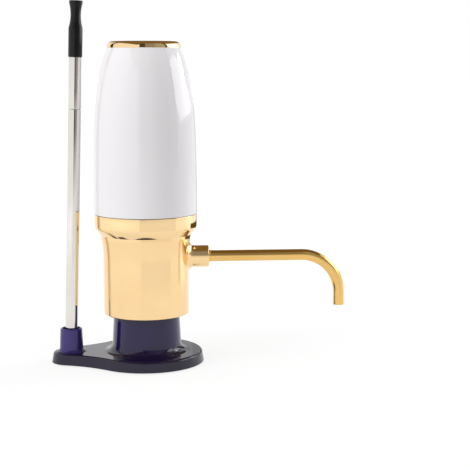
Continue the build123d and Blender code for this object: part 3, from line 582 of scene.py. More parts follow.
@dataclass(frozen=True)
class Rubber:
    """Matt rubber or silicone with a soft bloom.

    Attributes:
        name: Name of the finish.
        colour: Colour of the rubber.
        bloom: Colour of its dusty patches.
        sheen: Middle roughness.
        sheen_weight: Weight of the soft velvet edge.
    """

    name: str
    colour: Colour
    bloom: Colour
    sheen: float = 0.5
    sheen_weight: float = 0.15

    def material(self) -> bpy.types.Material:
        """Builds the material: dusty patches, dull and greasy spots, and a pebbled skin."""
        graph = Graph(self.name)
        dust = graph.spread(graph.noise(120.0, 6.0, rough=0.65), 0.0, 1.0, 0.45, 0.8)
        graph.feed("Base Color", graph.blend(dust, self.colour, self.bloom))
        graph.feed("Roughness", graph.spread(graph.noise(240.0, 4.0), self.sheen * 0.82, self.sheen * 1.2))
        pebble = graph.bump(graph.noise(2600.0, 2.0), 0.012, 0.6)
        graph.feed("Normal", graph.bump(graph.noise(90.0, 1.0), 0.06, 0.2, pebble))
        graph.put(Sheen_Weight=self.sheen_weight, Sheen_Roughness=0.5, Specular_IOR_Level=0.3)
        return graph.material


@dataclass(frozen=True)
class ClearSilicone:
    """Milky see-through silicone.

    Attributes:
        name: Name of the finish.
        colour: Tint of the silicone.
    """

    name: str
    colour: Colour

    def material(self) -> bpy.types.Material:
        """Builds the material: mostly see-through, cloudy inside, with a frosted skin."""
        graph = Graph(self.name)
        haze = graph.noise(140.0, 4.0)
        cloudy = tuple(0.86 * part for part in self.colour)
        graph.feed("Base Color", graph.blend(haze, self.colour, cloudy))
        graph.feed("Roughness", graph.spread(haze, 0.18, 0.36))
        graph.feed("Normal", graph.bump(graph.noise(1500.0, 2.0), 0.01, 0.5))
        graph.put(Transmission_Weight=0.55, IOR=1.41)
        return graph.material


@dataclass(frozen=True)
class CircuitBoard:
    """Green circuit board with faint tracks under its lacquer.

    Attributes:
        name: Name of the finish.
        lacquer: Colour over the bare board.
        track: Colour over copper.
    """

    name: str
    lacquer: Colour
    track: Colour

    def material(self) -> bpy.types.Material:
        """Builds the material: tracks from a brick pattern that a slow noise breaks up, raised a little."""
        graph = Graph(self.name)
        bricks = graph.nodes.new("ShaderNodeTexBrick")
        bricks.inputs["Scale"].default_value = 260.0
        bricks.inputs["Mortar Size"].default_value = 0.05
        bricks.inputs["Color1"].default_value = bricks.inputs["Color2"].default_value = (0.0, 0.0, 0.0, 1.0)
        bricks.inputs["Mortar"].default_value = (1.0, 1.0, 1.0, 1.0)
        graph.links.new(graph.place(), bricks.inputs["Vector"])
        broken = graph.spread(graph.noise(90.0, 1.0), 0.0, 1.0, 0.46, 0.5)
        tracks = graph.combine("MULTIPLY", bricks.outputs["Color"], broken)
        graph.feed("Base Color", graph.blend(tracks, self.lacquer, self.track))
        graph.feed("Roughness", graph.spread(graph.noise(400.0, 3.0), 0.22, 0.4))
        graph.feed("Normal", graph.bump(tracks, 0.03, 0.7))
        return graph.material


@dataclass(frozen=True)
class CellCase:
    """Battery cells: metal cans in a plain sleeve with a coloured band.

    Attributes:
        name: Name of the finish.
        sleeve: Colour of the sleeve.
        band: Colour of its band.
        band_low_mm: Height where the band begins.
        band_high_mm: Height where it ends.
    """

    name: str
    sleeve: Colour
    band: Colour
    band_low_mm: float
    band_high_mm: float

    def material(self) -> bpy.types.Material:
        """Builds the material: a step in height gives the band, noise gives the sleeve's small creases."""
        graph = Graph(self.name)
        height = graph.along("Z")
        above = graph.combine("GREATER_THAN", height, self.band_low_mm * MM)
        below = graph.combine("LESS_THAN", height, self.band_high_mm * MM)
        band = graph.combine("MULTIPLY", above, below)
        graph.feed("Base Color", graph.blend(band, self.sleeve, self.band))
        graph.feed("Roughness", graph.spread(graph.noise(500.0, 4.0), 0.22, 0.38))
        graph.feed("Normal", graph.bump(graph.noise(260.0, 3.0, (1.0, 1.0, 0.2)), 0.03, 0.4))
        graph.put(Metallic=0.35, Coat_Weight=0.4, Coat_Roughness=0.12)
        return graph.material


GOLD_POLISHED = PlatedMetal("polished_gold", (0.94, 0.69, 0.38), (0.92, 0.66, 0.35), 0.05, 0.09, 0.05)
GOLD_SLEEVE = PlatedMetal("polished_gold_sleeve", (0.94, 0.68, 0.37), (0.92, 0.65, 0.34), 0.12, 0.16, 0.06)
GOLD_SPOUT = PlatedMetal("satin_gold", (0.83, 0.53, 0.18), (0.78, 0.49, 0.16), 0.11, 0.15, 0.08)
STEEL_TUBE = PlatedMetal("polished_steel", (0.78, 0.75, 0.71), (0.72, 0.69, 0.65), 0.05, 0.1, 0.08)
STEEL_PLAIN = PlatedMetal("plain_steel", (0.62, 0.62, 0.62), (0.5, 0.5, 0.5), 0.22, 0.36, 0.4)
MOTOR_METAL = PlatedMetal("motor_metal", (0.52, 0.53, 0.54), (0.42, 0.43, 0.44), 0.28, 0.42, 0.6)
WHITE_GLOSS = GlossPlastic("white_gloss", (0.83, 0.81, 0.825), (0.81, 0.79, 0.81), 0.08, 0.3)
# Painted light: both purple finishes are painted darker at the foot and clearer higher up, and the socket's
# copy is painted lighter still for light shining through its thin walls.
PURPLE_GLOSS = TintedPlastic("purple_gloss", (0.016, 0.008, 0.066), (0.010, 0.006, 0.025), 7.0, 13.0, 0.06)
PURPLE_SOCKET_PAINTED_LIT = TintedPlastic("purple_socket_painted_lit", (0.040, 0.024, 0.17), (0.012, 0.007, 0.05), 5.0, 9.5,
                              0.1)
BLACK_SILICONE = Rubber("black_silicone", (0.0025, 0.0025, 0.0035), (0.005, 0.005, 0.007), 0.33, 0.01)
BLACK_RUBBER = Rubber("black_rubber", (0.018, 0.018, 0.018), (0.045, 0.044, 0.042), 0.6, 0.25)
CLEAR_SILICONE = ClearSilicone("clear_silicone", (0.82, 0.84, 0.85))
BLACK_PLASTIC = MouldedPlastic("black_plastic", (0.022, 0.022, 0.024), (0.035, 0.035, 0.038))
GREY_PLASTIC = MouldedPlastic("grey_plastic", (0.26, 0.27, 0.28), (0.32, 0.33, 0.34))
WHITE_PLASTIC = MouldedPlastic("white_plastic", (0.74, 0.73, 0.70), (0.68, 0.67, 0.63), 0.38)
WIRE_COVER = MouldedPlastic("wire_cover", (0.36, 0.03, 0.025), (0.28, 0.022, 0.02), 0.35)
BOARD_GREEN = CircuitBoard("board_green", (0.015, 0.11, 0.045), (0.05, 0.22, 0.09))
CELL_SLEEVE = CellCase("cell_case", (0.56, 0.58, 0.57), (0.05, 0.2, 0.26), 152.0, 170.0)

Finish = (PlatedMetal | GlossPlastic | TintedPlastic | MouldedPlastic | Rubber | ClearSilicone
          | CircuitBoard | CellCase)


class Slot(Enum):
    """Material slots of the record."""

    WHITE_GLOSS = "white_gloss"
    POLISHED_GOLD = "polished_gold"
    SATIN_GOLD = "satin_gold"
    PURPLE_GLOSS = "purple_gloss"
    POLISHED_STEEL = "polished_steel"
    BLACK_SILICONE = "black_silicone"
    BLACK_RUBBER = "black_rubber"


class Wardrobe:
    """Keeps one material for each finish and hands pieces over to the frame."""

    def __init__(self) -> None:
        """Starts with no materials made."""
        self._made: dict[str, bpy.types.Material] = {}

    def material(self, finish: Finish) -> bpy.types.Material:
        """The finish's material, made the first time it is asked for."""
        if finish.name not in self._made:
            self._made[finish.name] = finish.material()
        return self._made[finish.name]

    def dress(self, made: bpy.types.Object, finish: Finish) -> None:
        """Gives every slot of an object one finish."""
        material = self.material(finish)
        if not made.material_slots:
            made.data.materials.append(material)
        for place in made.material_slots:
            place.material = material

    def hand_over(self, made: bpy.types.Object, finish: Finish, body: str, node: str) -> None:
        """Dresses a new piece, lets it ride and puts it in a node's stead.

        Args:
            made: The new piece.
            finish: Its finish.
            body: Body it moves with.
            node: CAD node it stands for.
        """
        self.dress(made, finish)
        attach(made, body)
        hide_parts(node)
        LOG.info("%s: %d faces for node %s on body %s", made.name, len(made.data.polygons), node, body)


# Sub-assemblies

@dataclass(frozen=True)
class Stand:
    """Lobed base plate with its post, tube socket and rubber pad.

    Attributes:
        lobe: Radius of the plate's large lobe.
        small_lobe: Radius of its small lobe.
        offset: Distance of the small lobe and of the socket.
        hollow: Radius of the hollow sides between the lobes.
        plate_bottom: Underside of the plate.
        plate_top: Top of the plate.
        draft_deg: Lean of the plate's side.
        edge_round: Rounding of its upper edge.
        pad_top: Top of the pad in its recess.
        pad_margin: Distance of the pad from the plate's edge.
        flare: Radius of the post's flare.
        foot: Post's radius above the flare.
        post: Post's radius under the sleeve.
        sleeve_foot: Height of the sleeve's lower edge.
        shoulder: Height of the shoulder.
        cone_top: Height where the cone ends.
        mouth: Radius of the mouth.
        post_top: Height of the post.
        bore: Radius of the bore.
        bore_floor: Height of its floor.
        socket_seat: Radius of the socket's hole in the plate.
        socket_foot: Height of the socket's underside.
        socket_stem: Radius of its stem and of its mouth.
        socket_skirt: Radius of the skirt that lies on the plate.
        skirt_low: Underside of the skirt.
        skirt_high: Top of the skirt.
        socket_flare: Radius of the hollow above the skirt.
        socket_top: Height of the socket.
        socket_bore: Radius of its bore.
        socket_floor: Height of the bore's floor.
        close_from_deg: Angle from which the columns stand closer.
        close_to_deg: Angle up to which they do.
        patch_half_deg: Half the angle of the patch round the socket's hole.
        patch_rows: Rows of the flat top that the patch takes up.
        relief: Room round the pad in its recess.
        hair: Gap that keeps two faces from lying in one plane.
    """

    lobe: float = 33.9
    small_lobe: float = 11.6
    offset: float = 44.6
    hollow: float = 66.0
    plate_bottom: float = 0.5
    plate_top: float = 6.7
    draft_deg: float = 10.0
    edge_round: float = 1.6
    pad_top: float = 1.2
    pad_margin: float = 3.0
    flare: float = 5.5
    foot: float = 20.3
    post: float = 19.4
    sleeve_foot: float = 29.15
    shoulder: float = 38.0
    cone_top: float = 42.6
    mouth: float = 14.8
    post_top: float = 50.0
    bore: float = 10.4
    bore_floor: float = 16.0
    socket_seat: float = 6.42
    socket_foot: float = 1.24
    socket_stem: float = 6.4
    socket_skirt: float = 8.9
    skirt_low: float = 6.72
    skirt_high: float = 6.9
    socket_flare: float = 2.0
    socket_top: float = 20.5
    socket_bore: float = 5.1
    socket_floor: float = 3.0
    close_from_deg: float = 156.0
    close_to_deg: float = 204.0
    patch_half_deg: float = 9.5
    patch_rows: tuple[int, int] = (1, 20)
    relief: float = 0.2
    hair: float = 0.01

    def angles(self) -> np.ndarray:
        """Angles once round the post, three times closer where the small lobe stands out."""
        first = np.linspace(0.0, self.close_from_deg, 104, endpoint=False)
        close = np.linspace(self.close_from_deg, self.close_to_deg, 96, endpoint=False)
        last = np.linspace(self.close_to_deg, 360.0, 104, endpoint=False)
        return np.radians(np.concatenate([first, close, last]))

    def reach(self, angles: np.ndarray, margin: float) -> np.ndarray:
        """Distance from the post's axis to the plate's outline drawn in by a margin.

        A ray meets the large lobe at its radius, a hollow side at the nearer root of the circle's
        equation and the small lobe at the farther root of its circle's equation.

        Args:
            angles: Directions in radians.
            margin: How far the outline is drawn in.

        Returns:
            Distance for each direction.
        """
        large, small, hollow = self.lobe - margin, self.small_lobe - margin, self.hollow + margin
        to_large, to_small = large + hollow, small + hollow
        along = (to_large**2 - to_small**2 + self.offset**2) / (2 * self.offset)
        aside = math.sqrt(to_large**2 - along**2)
        large_joint = math.atan2(aside, -along)
        small_x = -self.offset + (self.offset - along) * small / to_small
        small_joint = math.atan2(aside * small / to_small, small_x)
        turn = np.abs(np.mod(angles + math.pi, 2 * math.pi) - math.pi)
        across = -along * np.cos(turn) + aside * np.sin(turn)
        to_hollow = across - np.sqrt(np.maximum(across**2 - to_large**2 + hollow**2, 0.0))
        towards = -self.offset * np.cos(turn)
        to_lobe = towards + np.sqrt(np.maximum(towards**2 - self.offset**2 + small**2, 0.0))
        return np.where(turn <= large_joint, large, np.where(turn <= small_joint, to_hollow, to_lobe))

    def outline(self, angles: np.ndarray, margin: float, height: float) -> np.ndarray:
        """One row of points on the drawn-in outline at a height.

        Args:
            angles: Directions in radians.
            margin: How far the outline is drawn in.
            height: Height of the row.

        Returns:
            The points.
        """
        reach = self.reach(angles, margin)
        level = np.full_like(reach, height)
        return np.stack([reach * np.cos(angles), reach * np.sin(angles), level], axis=-1)

    def plate_and_post(self) -> bpy.types.Object:
        """Builds plate and post as one skin.

        Rows run out under the plate, up its drafted side, in over its top, up the post and down its
        bore. Columns turn about the post. A patch between the socket's hole and a block of the top's
        cells is straight shares between the two borders.

        Returns:
            The new object.
        """
        angles = self.angles()
        lean = math.tan(math.radians(self.draft_deg)) * (self.plate_top - self.plate_bottom)
        side = rounded([
            (0.0, self.plate_bottom, 0.0),
            (lean, self.plate_top, self.edge_round),
            (lean + 4.0, self.plate_top, 0.0),
        ], closed=False)[:-1]
        rows = [
            np.zeros((len(angles), 3)) + (0.0, 0.0, self.pad_top),
            self.outline(angles, self.pad_margin - self.relief, self.pad_top),
            self.outline(angles, self.pad_margin - self.relief, self.plate_bottom),
            *(self.outline(angles, margin, height) for margin, height in side),
        ]
        edge, flat_steps = rows[-1], 30
        flare_foot = turned(np.array([[self.foot + self.flare, self.plate_top]]), angles)[0]
        share = np.linspace(0.0, 1.0, flat_steps + 1)[1:, None, None]
        first_flat = len(rows) - 1
        top = np.concatenate([np.array(rows), edge * (1 - share) + flare_foot * share])
        column = rounded([
            (self.post, self.sleeve_foot, 0.0),
            (self.post, self.shoulder, 1.0),
            (self.mouth, self.cone_top, 1.0),
            (self.mouth, self.post_top, 0.8),
            (self.bore, self.post_top, 0.5),
            (self.bore, self.bore_floor, 0.0),
            (0.0, self.bore_floor, 0.0),
        ], closed=False)
        flare = arc((self.foot + self.flare, self.plate_top + self.flare), self.flare, 270.0, 180.0, 14)
        grid = np.concatenate([top, turned(np.concatenate([flare[1:], column]), angles)])
        inside = np.flatnonzero(np.abs(angles - math.pi) <= math.radians(self.patch_half_deg))
        low, high = (first_flat + row for row in self.patch_rows)
        block = Block((low, high), (int(inside[0]), int(inside[-1])))
        border = block.border(grid)
        centre = np.array([-self.offset, 0.0, self.plate_top])
        spoke = border - centre
        spoke /= np.linalg.norm(spoke, axis=1, keepdims=True)
        rim = centre + self.socket_seat * spoke
        share = np.linspace(0.0, 1.0, 5)[:, None, None]
        floor = np.array([0.0, 0.0, self.pad_top + 2 * self.hair - self.plate_top])
        well = np.stack([np.broadcast_to(centre + floor, rim.shape), rim + floor, rim])
        skin = Skin().add(grid, block).add(rim * (1 - share) + border * share).add(well)
        return skin.piece("StandBase", 30.0)

    def socket(self) -> bpy.types.Object:
        """Builds the cup for the dip tube: its profile turned about the small lobe's axis."""
        waist, waist_height = self.socket_skirt - self.socket_flare, self.skirt_high + self.socket_flare
        flare = arc((self.socket_skirt, waist_height), self.socket_flare, 270.0, 180.0, 8)
        cup = rounded([
            (waist, waist_height, 0.0), (self.socket_stem, self.socket_top, 0.9),
            (self.socket_bore, self.socket_top, 0.3), (self.socket_bore, self.socket_floor, 0.4),
            (0.0, self.socket_floor, 0.0),
        ], closed=False)
        foot = np.array([
            (0.0, self.socket_foot), (self.socket_stem, self.socket_foot), (self.socket_stem, self.skirt_low),
            (self.socket_skirt, self.skirt_low), (self.socket_skirt, self.skirt_high),
        ])
        grid = turned(np.concatenate([foot, flare[1:], cup[1:]]), full_turn(96))
        grid[..., 0] -= self.offset
        return Skin().add(grid).piece("TubeSocket")

    def pad(self) -> bpy.types.Object:
        """Builds the pad: the drawn-in outline between two heights, closed to the axis."""
        angles, top, bevel = self.angles(), self.pad_top - self.hair, 0.3
        levels = ((self.pad_margin + bevel, 0.0), (self.pad_margin, bevel), (self.pad_margin, top))
        rows = [np.zeros((len(angles), 3))]
        rows += [self.outline(angles, margin, height) for margin, height in levels]
        rows.append(np.zeros((len(angles), 3)) + (0.0, 0.0, top))
        return Skin().add(np.array(rows)).piece("StandPad")

    def build(self, wardrobe: Wardrobe) -> None:
        """Builds and hands over the three pieces."""
        wardrobe.hand_over(self.plate_and_post(), PURPLE_GLOSS, "stand", "stand")
        wardrobe.hand_over(self.socket(), PURPLE_SOCKET_PAINTED_LIT, "stand", "tube_socket")
        wardrobe.hand_over(self.pad(), BLACK_RUBBER, "stand", "stand_pad")


@dataclass(frozen=True)
class DipTube:
    """Telescopic steel tube leaning in its socket, with its adapter.

    Attributes:
        offset: Distance of the socket's axis from the post's.
        lean_deg: Lean towards the post.
        pivot: Height along the tube where it leans.
        foot: Height of the tube's foot on its own axis.
        radius: Outer tube's radius.
        bore: Outer tube's bore.
        neck: Bore of its drawn-in upper end.
        length: Outer tube's length.
        inner: Inner tube's radius.
        inner_bore: Its bore.
        inner_foot: Height of its foot.
        sleeve_top: Top of the sleeve.
        roll: Length of the drawn-in end.
        inside_adapter: How far the inner tube goes up inside the adapter.
        adapter: Adapter's radius at its foot. Its heights are above the sleeve.
        adapter_seat: Radius of its seat on the inner tube.
        seat_top: Height of the seat's end.
        draw_from: Height where the side starts to draw in.
        waist: Radius of the waist.
        waist_at: Height of the waist.
        flared: Radius of the flared mouth.
        flare_to: Height where the flare ends.
        adapter_top: Height of the adapter.
        mouth_bore: Radius of the mouth's bore.
        mouth_floor: Height of its floor.
        passage: Radius of the hole through the waist.
    """

    offset: float = 44.6
    lean_deg: float = 1.8
    pivot: float = 8.75
    foot: float = 3.11622
    radius: float = 3.7
    bore: float = 3.3
    neck: float = 3.16
    length: float = 146.3
    inner: float = 3.1
    inner_bore: float = 2.7
    inner_foot: float = 9.0
    sleeve_top: float = 175.9
    roll: float = 3.4
    inside_adapter: float = 18.9
    adapter: float = 4.05
    adapter_seat: float = 3.12
    seat_top: float = 19.0
    draw_from: float = 16.4
    waist: float = 2.95
    waist_at: float = 23.8
    flared: float = 3.85
    flare_to: float = 30.6
    adapter_top: float = 32.0
    mouth_bore: float = 2.6
    mouth_floor: float = 27.5
    passage: float = 1.8

    def leaned(self, name: str, profile: np.ndarray, count: int = 72) -> bpy.types.Object:
        """Turns a profile about the tube's own axis and leans it.

        A point at height z on the axis goes to x = sine of the lean times (z - pivot), and
        z = foot + pivot + cosine of the lean times (z - pivot).

        Args:
            name: Name of the piece.
            profile: Closed profile, as (radius, height along the tube).
            count: Number of columns.

        Returns:
            The new object.
        """
        grid = turned(profile, full_turn(count))
        lean = math.radians(self.lean_deg)
        across, height = grid[..., 0].copy(), grid[..., 2] - self.pivot
        grid[..., 0] = across * math.cos(lean) + height * math.sin(lean) - self.offset
        grid[..., 2] = height * math.cos(lean) - across * math.sin(lean) + self.foot + self.pivot
        return Skin().add(grid).piece(name)

    def outer(self) -> bpy.types.Object:
        """Builds the outer tube, its upper end rolled in."""
        return self.leaned("OuterTube", rounded([
            (self.bore, 0.0, 0.1), (self.radius, 0.0, 0.15), (self.radius, self.length, 0.45),
            (self.neck, self.length, 0.0), (self.neck, self.length - self.roll + 0.4, 0.0),
            (self.bore, self.length - self.roll, 0.0),
        ]))

    def sleeve(self) -> bpy.types.Object:
        """Builds the sleeve at the inner tube's upper end."""
        bore = self.inner + 0.02
        return self.leaned("TubeSleeve", rounded([
            (bore, self.length, 0.0), (self.radius, self.length, 0.45),
            (self.radius, self.sleeve_top, 0.15), (bore, self.sleeve_top, 0.0),
        ]))

    def inner_tube(self) -> bpy.types.Object:
        """Builds the inner tube."""
        top = self.sleeve_top + self.inside_adapter
        return self.leaned("InnerTube", rounded([
            (self.inner_bore, self.inner_foot, 0.0), (self.inner, self.inner_foot, 0.1),
            (self.inner, top, 0.1), (self.inner_bore, top, 0.0),
        ]))

    def mouthpiece(self) -> bpy.types.Object:
        """Builds the adapter: its side draws in fast, then slower to the waist, and flares ever faster."""
        base, share = self.sleeve_top, np.linspace(0.0, 1.0, 15)
        draw = np.stack([
            self.adapter - (self.adapter - self.waist) * share * (2 - share),
            base + self.draw_from + (self.waist_at - self.draw_from) * share,
        ], axis=-1)
        flare = np.stack([
            self.waist + (self.flared - self.waist) * share**2,
            base + self.waist_at + (self.flare_to - self.waist_at) * share,
        ], axis=-1)
        foot = rounded([
            (self.adapter_seat, base, 0.0), (self.adapter, base, 0.5), (self.adapter, base + 6.0, 0.0),
        ], closed=False)
        mouth = rounded([
            (self.flared, base + self.flare_to, 0.0), (self.flared, base + self.adapter_top, 0.4),
            (self.mouth_bore, base + self.adapter_top, 0.3), (self.mouth_bore, base + self.mouth_floor, 0.0),
            (self.passage, base + self.mouth_floor, 0.0), (self.passage, base + self.seat_top, 0.0),
            (self.adapter_seat, base + self.seat_top, 0.0),
        ], closed=False)
        line = np.concatenate([foot, draw, flare[1:], mouth[1:], foot[:1]])
        return self.leaned("TubeAdapter", line)

    def build(self, wardrobe: Wardrobe) -> None:
        """Builds and hands over the four pieces."""
        steel, black, inner = Slot.POLISHED_STEEL, Slot.BLACK_SILICONE, "inner_dip_tube"
        wardrobe.hand_over(self.outer(), STEEL_TUBE, "dip_tube", "outer_tube")
        wardrobe.hand_over(self.sleeve(), STEEL_TUBE, inner, "tube_sleeve")
        wardrobe.hand_over(self.inner_tube(), STEEL_TUBE, inner, "inner_tube")
        wardrobe.hand_over(self.mouthpiece(), BLACK_SILICONE, inner, "tube_adapter")


@dataclass(frozen=True)
class Sleeve:
    """Gold lower body with the spout's boss faired into it, and the collar above.

    Attributes:
        foot: Height of the lower edge.
        top: Height of the upper edge.
        radius: Outer radius.
        inner: Inner radius.
        flare_start: Height where the flare begins.
        flare_top: Height where it ends.
        flare_out: How far it spreads.
        boss: Boss's radius.
        boss_height: Height of its axis.
        boss_reach: Distance of its end from the axis.
        fairing: Radius of the hollow between boss and sleeve.
        bore: Radius of the spout's hole.
        edge: Height of the rounded strip at both edges.
        block_from: Height where the patches round the boss begin.
        block_to: Height where they end.
        block_half_deg: Half their angle about the axis.
        lip: Radius of the collar's tucked lip.
        lip_foot: Height of the lip's underside.
        collar_radius: Radius of the collar's band.
        belly: Radius of its rounded belly.
        belly_deg: Angle at which lip and belly meet.
        shelf: Radius of the shelf's edge inside.
        shelf_top: Top of the shelf, where belly and band meet.
        collar_bore: Inner radius of the band.
        collar_top: Height of the band's top.
    """

    foot: float = 29.15
    top: float = 80.0
    radius: float = 25.0
    inner: float = 23.4
    flare_start: float = 60.0
    flare_top: float = 74.5
    flare_out: float = 1.3
    boss: float = 6.4
    boss_height: float = 62.5
    boss_reach: float = 36.9
    fairing: float = 3.0
    bore: float = 3.36
    edge: float = 1.2
    block_from: float = 49.0
    block_to: float = 75.0
    block_half_deg: float = 36.0
    lip: float = 26.6
    lip_foot: float = 76.0
    collar_radius: float = 30.0
    belly: float = 3.5
    belly_deg: float = -37.7
    shelf: float = 24.4
    shelf_top: float = 81.6
    collar_bore: float = 28.4
    collar_top: float = 88.4

    def radius_at(self, height: np.ndarray) -> np.ndarray:
        """Outer radius by height: straight, then out along a circle that starts upright.

        Args:
            height: Heights.

        Returns:
            The radius at each height.
        """
        tall = self.flare_top - self.flare_start
        turn = (tall**2 + self.flare_out**2) / (2 * self.flare_out)
        above = np.clip(height - self.flare_start, 0.0, tall)
        return self.radius + turn - np.sqrt(turn**2 - above**2)

    def on_wall(self, across: np.ndarray, height: np.ndarray, outside: bool) -> np.ndarray:
        """Points on a wall, from their angle about the axis and their height.

        Args:
            across: Angles in radians.
            height: Heights.
            outside: Whether the outer wall is meant.

        Returns:
            The points.
        """
        radius = self.radius_at(height) if outside else np.full_like(height, self.inner)
        return np.stack([radius * np.cos(across), radius * np.sin(across), height], axis=-1)

    def about_boss(self, turn: np.ndarray, size: np.ndarray | float, outside: bool) -> np.ndarray:
        """Angle and height of the wall's points at a distance from the boss's axis.

        Args:
            turn: Directions round the boss in radians.
            size: Distance from its axis.
            outside: Whether the outer wall is meant.

        Returns:
            Angle about the sleeve's axis and height, stacked.
        """
        height = self.boss_height + size * np.sin(turn)
        radius = self.radius_at(height) if outside else np.full_like(height, self.inner)
        return np.stack([np.arcsin(size * np.cos(turn) / radius), height], axis=-1)

    def patch(self, border: np.ndarray, turn: np.ndarray, size: float, outside: bool) -> np.ndarray:
        """Fills the wall between a circle round the boss and a block's edge.

        Angle and height are straight shares between the two borders, so each point lies on the wall.

        Args:
            border: Angle and height along the block's edge.
            turn: Direction of each of its points round the boss.
            size: Radius of the circle.
            outside: Whether the outer wall is meant.

        Returns:
            Grid from the circle to the block's edge.
        """
        share = np.linspace(0.0, 1.0, 9)[:, None, None]
        middle = self.about_boss(turn, size, outside) * (1 - share) + border * share
        return self.on_wall(middle[..., 0], middle[..., 1], outside)

    def fairing_rows(self, turn: np.ndarray) -> np.ndarray:
        """Rows from the wall up the hollow and along the boss to its end.

        In the hollow, at angle f, the distance from the boss's axis is boss + fairing (1 - sine f) and
        the surface stands fairing (1 - cosine f) off the wall, so it leaves the wall and meets the
        boss without a crease.

        Args:
            turn: Directions round the boss in radians.

        Returns:
            Grid of rows outwards along the boss, ending in its bore at the inner wall.
        """
        sweep = np.radians(np.linspace(0.0, 90.0, 15))[:, None]
        size = self.boss + self.fairing * (1 - np.sin(sweep))
        place = self.about_boss(turn, size, True)
        hollow = self.on_wall(place[..., 0], place[..., 1], True)
        hollow[..., 0] += self.fairing * (1 - np.cos(sweep))
        end = rounded([
            (self.boss, self.boss_reach - 4.0, 0.0), (self.boss, self.boss_reach, 0.5),
            (self.bore, self.boss_reach, 0.15), (self.bore, self.boss_reach - 1.0, 0.0),
        ], closed=False)
        radius, reach = end[:, :1], end[:, 1:]
        flat = np.broadcast_to(reach, (len(end), len(turn)))
        upright = self.boss_height + radius * np.sin(turn)
        straight = np.stack([flat, radius * np.cos(turn), upright], axis=-1)
        across, height = self.about_boss(turn, np.full_like(turn, self.bore), False).T
        return np.concatenate([hollow, straight, self.on_wall(across, height, False)[None]])

    def body(self) -> bpy.types.Object:
        """Builds the sleeve as one skin.

        Rows run up the outer wall and down the inner one, columns turn about the axis, and two patches
        with the boss between them fill the blocks left out at the boss.

        Returns:
            The new object.
        """
        angles = full_turn(240, -180.0)
        foot_top, rim_foot = self.foot + self.edge, self.top - 0.5
        levels = np.concatenate([[foot_top, 34.0, 39.0, 44.0], np.arange(48.0, 78.0, 1.0), [rim_foot]])
        foot = rounded([
            (self.inner, foot_top, 0.0), (self.inner, self.foot, 0.2),
            (self.radius, self.foot, 0.7), (self.radius, foot_top, 0.0),
        ], closed=False)
        outer = np.stack([self.radius_at(levels), levels], axis=-1)
        rim_radius = self.radius + self.flare_out
        rim = rounded([
            (rim_radius, rim_foot, 0.0), (rim_radius, self.top, 0.2),
            (self.inner, self.top, 0.2), (self.inner, rim_foot, 0.0),
        ], closed=False)
        inner = np.stack([np.full_like(levels, self.inner), levels], axis=-1)[::-1]
        grid = turned(np.concatenate([foot[:-1], outer, rim[1:-1], inner]), angles)
        low, high = (int(np.argmin(np.abs(levels - level))) for level in (self.block_from, self.block_to))
        start = len(foot) - 1
        inner_start = start + len(levels) + len(rim) - 2
        last = len(levels) - 1
        half = math.radians(self.block_half_deg)
        columns = (int(np.argmin(np.abs(angles + half))), int(np.argmin(np.abs(angles - half))))
        outer_block = Block((start + low, start + high), columns)
        inner_block = Block((inner_start + last - high, inner_start + last - low), columns)
        across = np.broadcast_to(angles, grid.shape[:2])
        place = np.stack([across, grid[..., 2]], axis=-1)
        outer_border, inner_border = outer_block.border(place), inner_block.border(place)[::-1]
        turn, inner_turn = (
            np.arctan2(border[:, 1] - self.boss_height, self.radius * border[:, 0])
            for border in (outer_border, inner_border)
        )
        shift = int(np.argmin(np.abs(inner_turn - turn[0])))
        inner_border = np.roll(inner_border, -shift, axis=0)
        upper_start = inner_start - 1
        upper_rows = (inner_block.rows[0] - upper_start, inner_block.rows[1] - upper_start)
        skin = Skin()
        skin.add(grid[:inner_start], outer_block)
        skin.add(grid[upper_start:], Block(upper_rows, columns))
        skin.add(self.patch(outer_border, turn, self.boss + self.fairing, True))
        skin.add(self.fairing_rows(turn))
        skin.add(self.patch(inner_border, turn, self.bore, False))
        return skin.piece("LowerBody", 40.0)

    def collar(self) -> bpy.types.Object:
        """Builds the collar: tucked lip, rounded belly and plain band, with its inner shelf."""
        centre = (self.collar_radius - self.belly, self.shelf_top)
        belly = arc(centre, self.belly, self.belly_deg, 0.0, 10)
        band = rounded([
            (self.collar_radius, self.shelf_top, 0.0), (self.collar_radius, self.collar_top, 0.3),
            (self.collar_bore, self.collar_top, 0.15), (self.collar_bore, self.shelf_top, 0.3),
            (self.shelf, self.shelf_top, 0.1), (self.shelf, self.top, 0.0), (self.lip, self.top, 0.0),
        ], closed=False)
        lip = rounded([
            (self.lip, self.top, 0.0), (self.lip, self.lip_foot, 0.18), tuple(belly[0]) + (0.0,),
        ], closed=False)
        line = np.concatenate([lip, belly[1:], band[1:]])
        return Skin().add(turned(line, full_turn(256))).piece("Collar")

    def build(self, wardrobe: Wardrobe) -> None:
        """Builds and hands over the two pieces."""
        wardrobe.hand_over(self.body(), GOLD_SLEEVE, "aerator", "lower_body")
        wardrobe.hand_over(self.collar(), GOLD_POLISHED, "aerator", "collar")


